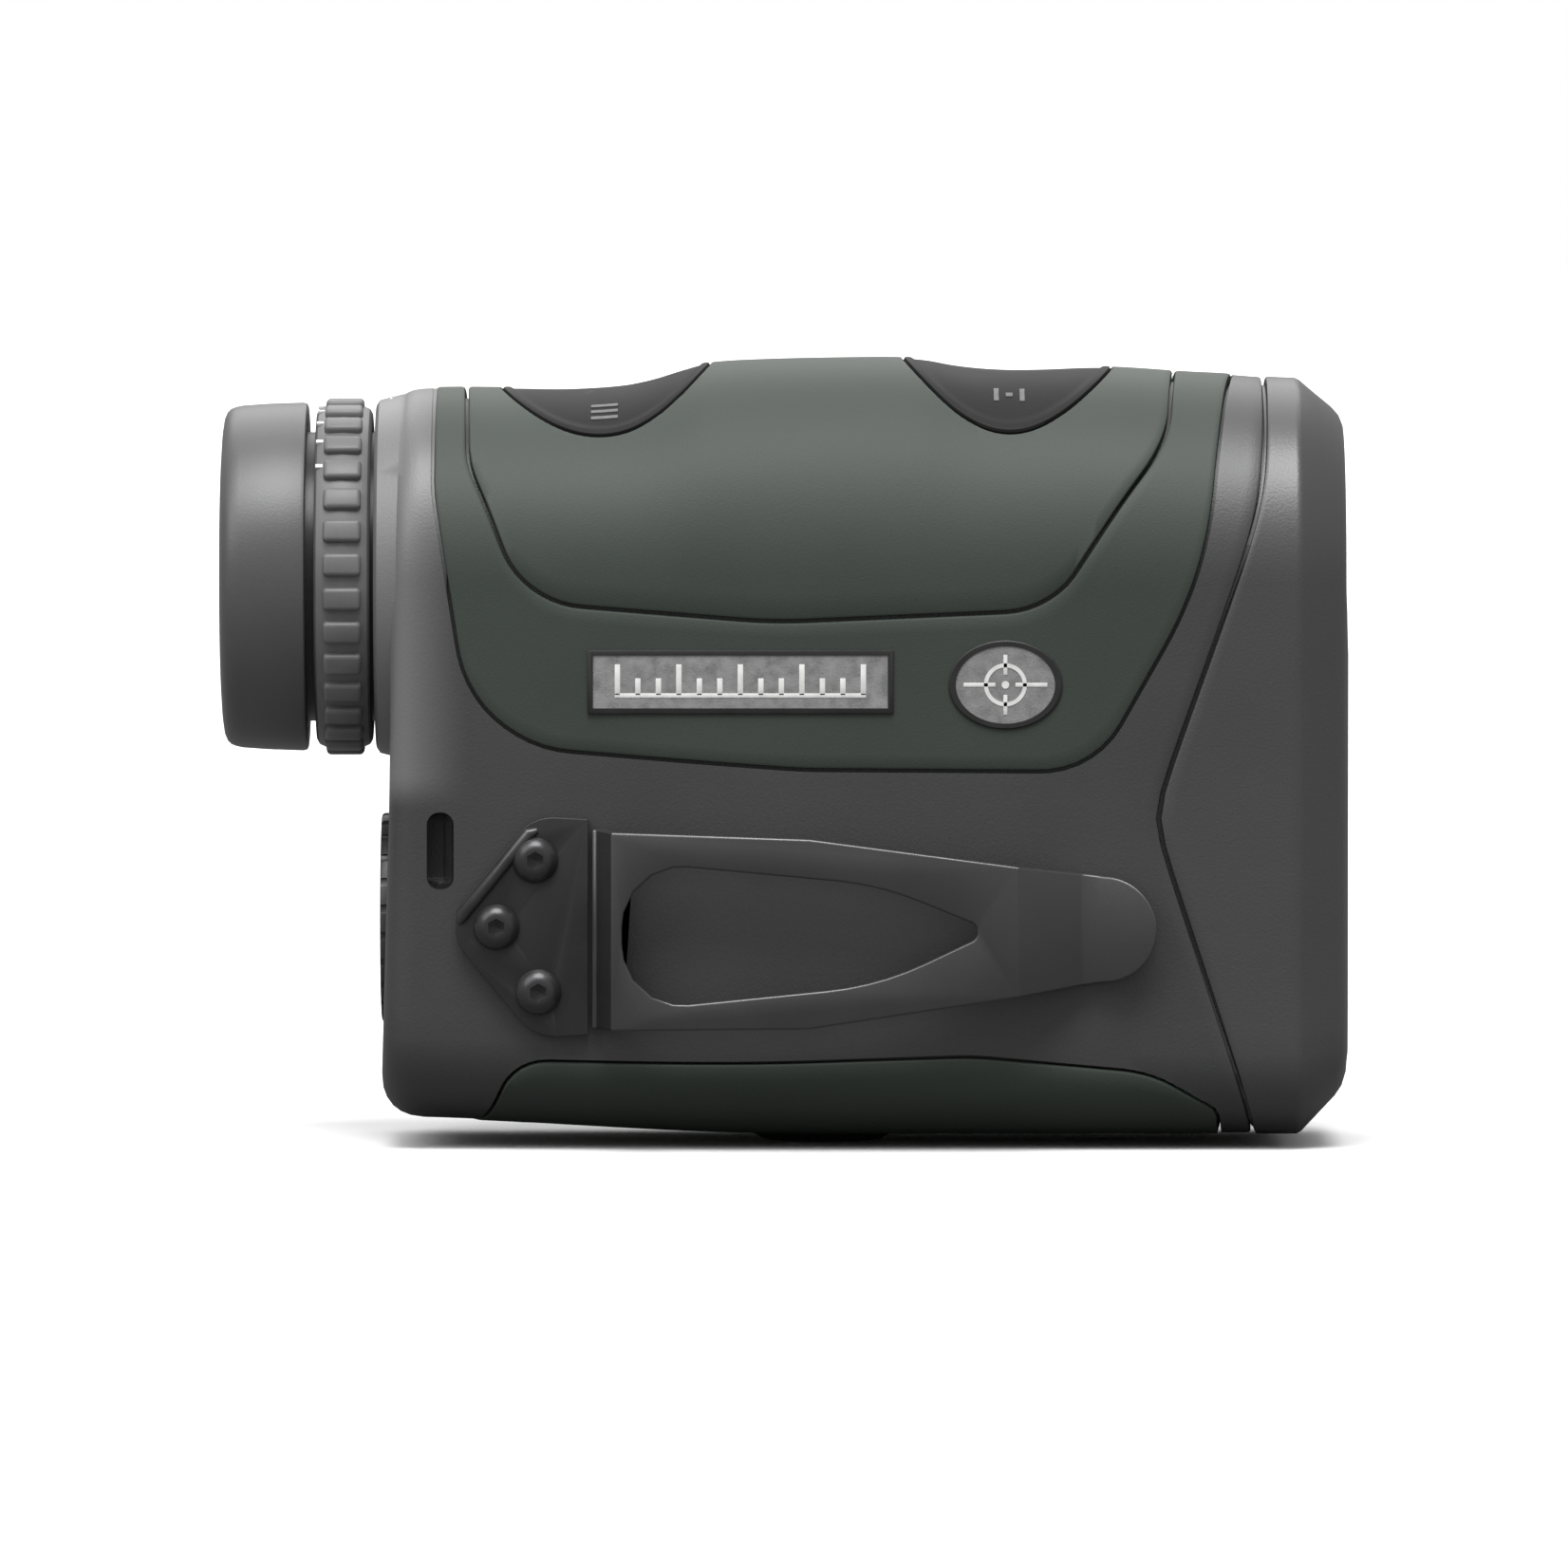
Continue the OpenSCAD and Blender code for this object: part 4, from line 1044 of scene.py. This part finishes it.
def surfaceBar(name, x, a, long, wide):  # a small raised mark on the body's surface
    corners = ((-1, -1), (1, -1), (1, 1), (-1, 1))
    outline = [Vector((x + long / 2 * u, a + wide / 2 * v)) for u, v in corners]
    line = [p.lerp(q, i / 4) for p, q in zip(outline, outline[1:] + outline[:1]) for i in range(4)]
    middle = [Vector((x, a))] * len(line)
    return surfacePatch(name, bodyPoint, line, middle, barLook["lift"], barLook["depth"], barLook["edge"], 2)


buildButton("rear_button", button)
buildButton("front_button", button)
# three bars on the rear button, a dot between two bars on the front one
rearMarks = [surfaceBar(f"rearMark{i}", -21.9, 8.6 + 1.25 * i, 2.7, 0.55) for i in range(3)]
finishPiece(gather("rearButtonMark", rearMarks), "dimMark", "rear_button", "label_metal")
frontBars = [(0, 0.7, 0.7), (-1.3, 0.5, 2.4), (1.3, 0.5, 2.4)]  # (shift, length, width)
frontMarks = [surfaceBar(f"frontMark{i}", 18.8 + shift, 9.6, long, wide)
              for i, (shift, long, wide) in enumerate(frontBars)]
finishPiece(gather("frontButtonMark", frontMarks), "dimMark", "front_button", "label_metal")
print("buttons seated")

finishPiece(housing, "charcoal", "housing", "charcoal_polymer", "main_housing")
finishPiece(bezel, "bezel", "housing", "charcoal_polymer", "front_bezel")
finishPiece(band, "armour", "housing", "green_armour", "upper_armour")
finishPiece(panel, "armour", "housing", "green_armour", "top_panel")
finishPiece(tray, "armour", "housing", "green_armour", "lower_armour")


# nameplate and oval badge, with a plain ranging scale and a reticle for marks
plaque = {
    "border": 0.55,
    "sink": 0.14,  # the field lies this far under the rim
    "fieldLift": 0.03,
    "fieldThick": 0.3,
    "markLift": 0.05,
    "tickPitch": 2.05,
    "ticks": 13,
    "tickWidth": 0.55,
    "tall": 3.1,
    "short": 1.7,
    "tickFoot": 1.35,  # below the plate's middle
    "baseLine": (1.6, 1.15),
    "ease": 0.04,
}


def boxIn(name, xs, ys, zs, ease=0.0):  # a box from its three spans
    return addBox(name, *zip(xs, ys, zs), ease)


def buildNameplate(p):
    (x1, y1, z1), (x2, y2, z2) = [[c / mm for c in corner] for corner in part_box("nameplate")]
    border = p["border"]
    field = y1 + p["sink"]
    xs = (x1 + border, x2 - border)
    zs = (z1 + border, z2 - border)
    frameBox = boxIn("nameplateFrame", (x1, x2), (y1, y2), (z1, z2), 0.12)
    cut(frameBox, boxIn("fieldPocket", xs, (y1 - 1, field), zs))
    finishPiece(frameBox, "frame", "housing", "label_metal", "nameplate")
    plate = boxIn("nameplateField", xs, (field - p["fieldLift"], field + p["fieldThick"]), zs)
    finishPiece(plate, "label", "housing", "label_metal")
    midX = (x1 + x2) / 2
    midZ = (z1 + z2) / 2
    half = p["tickWidth"] / 2
    ys = (field - p["fieldLift"] - p["markLift"], field)
    foot = midZ - p["tickFoot"]
    ticks = []
    for i in range(p["ticks"]):
        x = midX + (i - (p["ticks"] - 1) / 2) * p["tickPitch"]
        tall = p["tall"] if i % 3 == 0 else p["short"]
        ticks.append(boxIn(f"tick{i}", (x - half, x + half), ys, (foot, foot + tall), p["ease"]))
    long = p["tickPitch"] * (p["ticks"] - 1) / 2 + half
    lineZ = [midZ - drop for drop in p["baseLine"]]
    ticks.append(boxIn("baseLine", (midX - long, midX + long), ys, lineZ, p["ease"]))
    finishPiece(gather("rangingScale", ticks), "mark", "housing", "label_metal")


def ovalPiece(name, profile, centre, stretch):  # a turned piece drawn out along X
    piece = turnedPiece(name, profile, centre, "Y", 72, closed=False)
    makeActive(piece)
    bpy.ops.object.mode_set(mode="EDIT")
    bpy.ops.mesh.select_all(action="SELECT")
    bpy.ops.transform.resize(value=(stretch, 1, 1), center_override=onAxis("Y", 0, centre))
    bpy.ops.object.mode_set(mode="OBJECT")
    return piece


reticle = {"ring": (1.75, 2.15), "near": 1.0, "farAcross": 4.2, "farUp": 3.0, "width": 0.4, "dot": 0.38,
           "ease": 0.03}


def buildReticle(r, centre, top, field):
    inner, outer = r["ring"]
    x, z = (value / mm for value in centre)
    half = r["width"] / 2
    profile = [(field, inner), (top, inner), (top, outer), (field, outer)]
    marks = [turnedPiece("reticleRing", profile, centre, "Y", 64)]
    for i, (u, v) in enumerate(((1, 0), (-1, 0), (0, 1), (0, -1))):
        far = r["farUp"] if v else r["farAcross"]
        xs = sorted((x + u * r["near"] - half * abs(v), x + u * far + half * abs(v)))
        zs = sorted((z + v * r["near"] - half * abs(u), z + v * far + half * abs(u)))
        marks.append(boxIn(f"hair{i}", xs, (top, field), zs, r["ease"]))
    marks.append(turnedPiece("dot", [(field, r["dot"]), (top, r["dot"])], centre, "Y", 24, closed=False))
    return gather("badgeReticle", marks)


def buildBadge(p):
    (x1, y1, z1), (x2, y2, z2) = [[c / mm for c in corner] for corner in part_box("oval_badge")]
    centre = ((x1 + x2) / 2 * mm, (z1 + z2) / 2 * mm)
    tall = (z2 - z1) / 2
    stretch = (x2 - x1) / (z2 - z1)
    inner = tall - p["border"]
    field = y1 + p["sink"]
    bevel = 0.12
    rim = [(y2, tall), (y1 + bevel, tall), (y1, tall - bevel), (y1, inner), (field + 0.1, inner - 0.05)]
    frameOval = ovalPiece("badgeFrame", rim, centre, stretch)
    finishPiece(frameOval, "frame", "housing", "label_metal", "oval_badge")
    plate = [(field + p["fieldThick"], inner - 0.01), (field - p["fieldLift"], inner - 0.01)]
    finishPiece(ovalPiece("badgeField", plate, centre, stretch), "label", "housing", "label_metal")
    top = field - p["fieldLift"] - p["markLift"]
    finishPiece(buildReticle(reticle, centre, top, field), "mark", "housing", "label_metal")


buildNameplate(plaque)
buildBadge(plaque)
print("plates fixed")


# eyepiece: rubber cup and ribbed dioptre ring
cupFront = cupBox[1][0] / mm
cupRear = cupBox[0][0] / mm
cup = [(cupFront, 16.4), (cupFront, 17.25), (cupFront - 0.12, 17.5), (cupFront - 0.5, 17.6),
       (cupFront - 4, 17.48), (cupFront - 6.6, 17.3), (cupFront - 7.3, 17.15), (cupFront - 7.8, 16.95),
       (cupFront - 8.15, 16.6), (cupFront - 8.4, 16.0), (cupFront - 8.55, 15.0), (cupRear + 0.25, 13.5),
       (cupRear + 0.28, 12.9), (cupRear + 0.4, 12.45), (cupRear + 0.7, 12.2), (cupRear + 0.8, 12.2),
       (cupRear + 0.8, 16.4)]
ringRear = ringBox[0][0] / mm
ring = {
    "profile": [(ringRear, 14.8), (ringRear, 16.5), (ringRear + 0.25, 16.95), (ringRear + 0.9, 17.25),
                (ringRear + 2.8, 17.38), (ringRear + 4.7, 17.25), (ringRear + 5.35, 16.95),
                (ringRear + 5.6, 16.5), (ringRear + 5.6, 14.8)],
    "ribs": 32,
    "ribX": (ringRear + 0.95, ringRear + 4.75),
    "ribWidth": 2.25,
    "ribTop": 18.0,
    "ribDepth": 1.5,
    "ribRound": 0.42,
}


def buildDioptreRing(r):
    core = turnedPiece("dioptreRing", r["profile"], eyeCentre)
    top = axis + r["ribTop"]
    half = r["ribWidth"] / 2
    rib = boxIn("rib", r["ribX"], (-half, half), (top - r["ribDepth"], top))
    roundEdges(rib, r["ribRound"], 3)
    pitch = 2 * pi / r["ribs"]
    ribs = [turnedCopy(rib, f"rib{i}", pitch * (i + 0.5), "X", eyeCentre) for i in range(r["ribs"])]
    bpy.data.objects.remove(rib)
    return gather("dioptreRing", [core] + ribs)


def scaleMarks(name, x, r, width, angles):  # raised ticks round the top of a ring
    half = width / 2
    tick = boxIn("tick", (x, x + 0.75), (-half, half), (axis + r - 0.3, axis + r + 0.05), 0.05)
    ticks = [turnedCopy(tick, f"{name}{i}", radians(angle), "X", eyeCentre) for i, angle in enumerate(angles)]
    bpy.data.objects.remove(tick)
    return gather(name, ticks)


dioptreScale = scaleMarks("dioptreScale", ringRear + 0.12, 17.2, 0.45, range(-36, 54, 12))
finishPiece(dioptreScale, "mark", "dioptre_ring", "label_metal")
dioptreIndex = scaleMarks("dioptreIndex", collarRear + 1.4, 18.12, 0.6, (6,))
finishPiece(dioptreIndex, "mark", "housing", "label_metal")
eyecup = turnedPiece("eyecup", cup, eyeCentre, sides=128)
finishPiece(eyecup, "rubber", "eyecup", "black_rubber", "eyecup_rubber")
finishPiece(buildDioptreRing(ring), "ribbed", "dioptre_ring", "black_rubber", "dioptre_ring")
print("eyepiece ready")


# battery cap: dished face, coin slot and finger notches
coinCap = {"slotLong": 13.6, "slotWide": 1.7, "slotDeep": 1.3, "notches": 24, "notchWide": 0.9,
           "notchDeep": 0.25, "notchLong": 0.8, "dish": 0.25}


def buildCap(c):
    back = capBox[0][0] / mm
    r = (capBox[1][1] - capBox[0][1]) / 2 / mm
    stem = r - 1.4
    profile = [(capBox[1][0] / mm, stem), (back + 1.2, stem), (back + 1.2, r), (back + 0.35, r),
               (back + 0.1, r - 0.1), (back, r - 0.35), (back, r - 1.3), (back + 0.1, r - 1.5), (back + c["dish"], r - 2.6)]
    piece = turnedPiece("batteryCap", profile, (0, lowerZ), sides=96, closed=False)
    long = c["slotLong"] / 2
    wide = c["slotWide"] / 2
    slotBox = boxIn("coinSlot", (back - 1, back + c["slotDeep"]), (-long, long),
                    (lower - wide, lower + wide), 0.3)
    cut(piece, slotBox)
    half = c["notchWide"] / 2
    rim = lower + r
    notch = boxIn("notch", (back - 1, back + c["notchLong"]), (-half, half),
                  (rim - c["notchDeep"], rim + 1), 0.1)
    pitch = 2 * pi / c["notches"]
    notches = [turnedCopy(notch, f"notch{i}", pitch * (i + 0.5), "X", (0, lowerZ))
               for i in range(c["notches"])]
    bpy.data.objects.remove(notch)
    cut(piece, gather("notches", notches))
    return piece


finishPiece(buildCap(coinCap), "rim", "battery_cap", "charcoal_polymer", "battery_cap")
print("battery cap ready")


# belt clip and its screws
screw = {
    "profile": [(-17, 0.95), (-20.6, 0.95), (-21.2, 2.2), (-21.45, 2.28), (-21.75, 2.1), (-22.1, 1.7),
                (-22.3, 1.35), (-22.36, 1.05)],
    "socket": 0.92,
    "socketDepth": 0.9,
}


def buildScrew(s):
    x, z = screwPlaces[0]
    centre = ((foldX + x) * mm, (clipZ + z) * mm)
    head = turnedPiece("clipScrew", s["profile"], centre, "Y", 40, closed=False)
    bottom = s["profile"][-1][0] + s["socketDepth"]
    hexPlaces = [(-24, s["socket"]), (bottom, s["socket"]), (bottom + 0.26, 0.1)]
    cut(head, turnedPiece("socket", hexPlaces, centre, "Y", 6, closed=False))
    return head


screws = [buildScrew(screw)]
firstX, firstZ = screwPlaces[0]
for i, (x, z) in enumerate(screwPlaces[1:]):
    shift = ((x - firstX) * mm, 0, (z - firstZ) * mm)
    screws.append(movedCopy(screws[0], f"clipScrew{i}", shift))
finishPiece(gather("clipScrews", screws), "screw", "housing", "black_steel", "clip_screws")
clipPlate = roundedCopy("clip_plate", "clipPlate", 0.4, 3)
finishPiece(clipPlate, "plate", "housing", "black_steel", "clip_plate")
clipBlade = roundedCopy("clip_blade", "clipBlade", 0.36, 3)
finishPiece(clipBlade, "steel", "clip_blade", "black_steel", "clip_blade")
edgeHighlight = {
    "line": [(-5.1, 9.9), (-5.9, 9.6), (-12.6, 1.4), (-12.9, 0.6)],  # from the fold, in X and Z
    "radius": 0.7,
    "endShare": 0.45,
    "y": -21.1,
}


def buildEdgeHighlightRod(r):  # a half-sunk rod along the plate's upper slanted edge, in a lighter finish than the plate: a painted highlight along that edge
    line = r["line"]
    last = len(line) - 1
    rings = []
    for i, (x, z) in enumerate(line):
        before = line[max(i - 1, 0)]
        after = line[min(i + 1, last)]
        run = Vector((after[0] - before[0], 0, after[1] - before[1])).normalized()
        across = Vector((-run.z, 0, run.x))
        centre = Vector((foldX + x, r["y"], clipZ + z))
        size = r["radius"] * (r["endShare"] if i in (0, last) else 1)
        rings.append([(centre + (across * cos(t) + Vector((0, 1, 0)) * sin(t)) * size) * mm
                      for t in evenSteps(0, 2 * pi, 16)[:-1]])
    return loftRings("clipEdgeHighlight", rings)


# the rod's lighter screw finish paints the highlight on the plate's edge
finishPiece(buildEdgeHighlightRod(edgeHighlight), "screw", "housing", "black_steel")
print("clip ready")


# floor
def addFloor():
    deselectAll()
    bpy.ops.mesh.primitive_plane_add(size=12, location=(0, 0, -0.0002))
    floorPlane = bpy.context.object
    floorPlane.name = "studioFloor"
    settle(floorPlane)
    mat, tree, bsdf = newMaterial("paleFloor", (0.86, 0.86, 0.86), 0.9)
    bsdf.inputs["Specular IOR Level"].default_value = 0.0
    pale = addRamp(tree, addNoise(tree, 2.0), (0.9, 0.9, 0.9), (0.93, 0.93, 0.93))
    path = addNode(tree, "ShaderNodeLightPath")  # keeps the floor's bounce off the piece
    color = mixColors(tree, path.outputs["Is Camera Ray"], (0.16, 0.16, 0.16), pale)
    tree.links.new(color, bsdf.inputs["Base Color"])
    floorPlane.data.materials.append(mat)


addFloor()
print("floor ready")
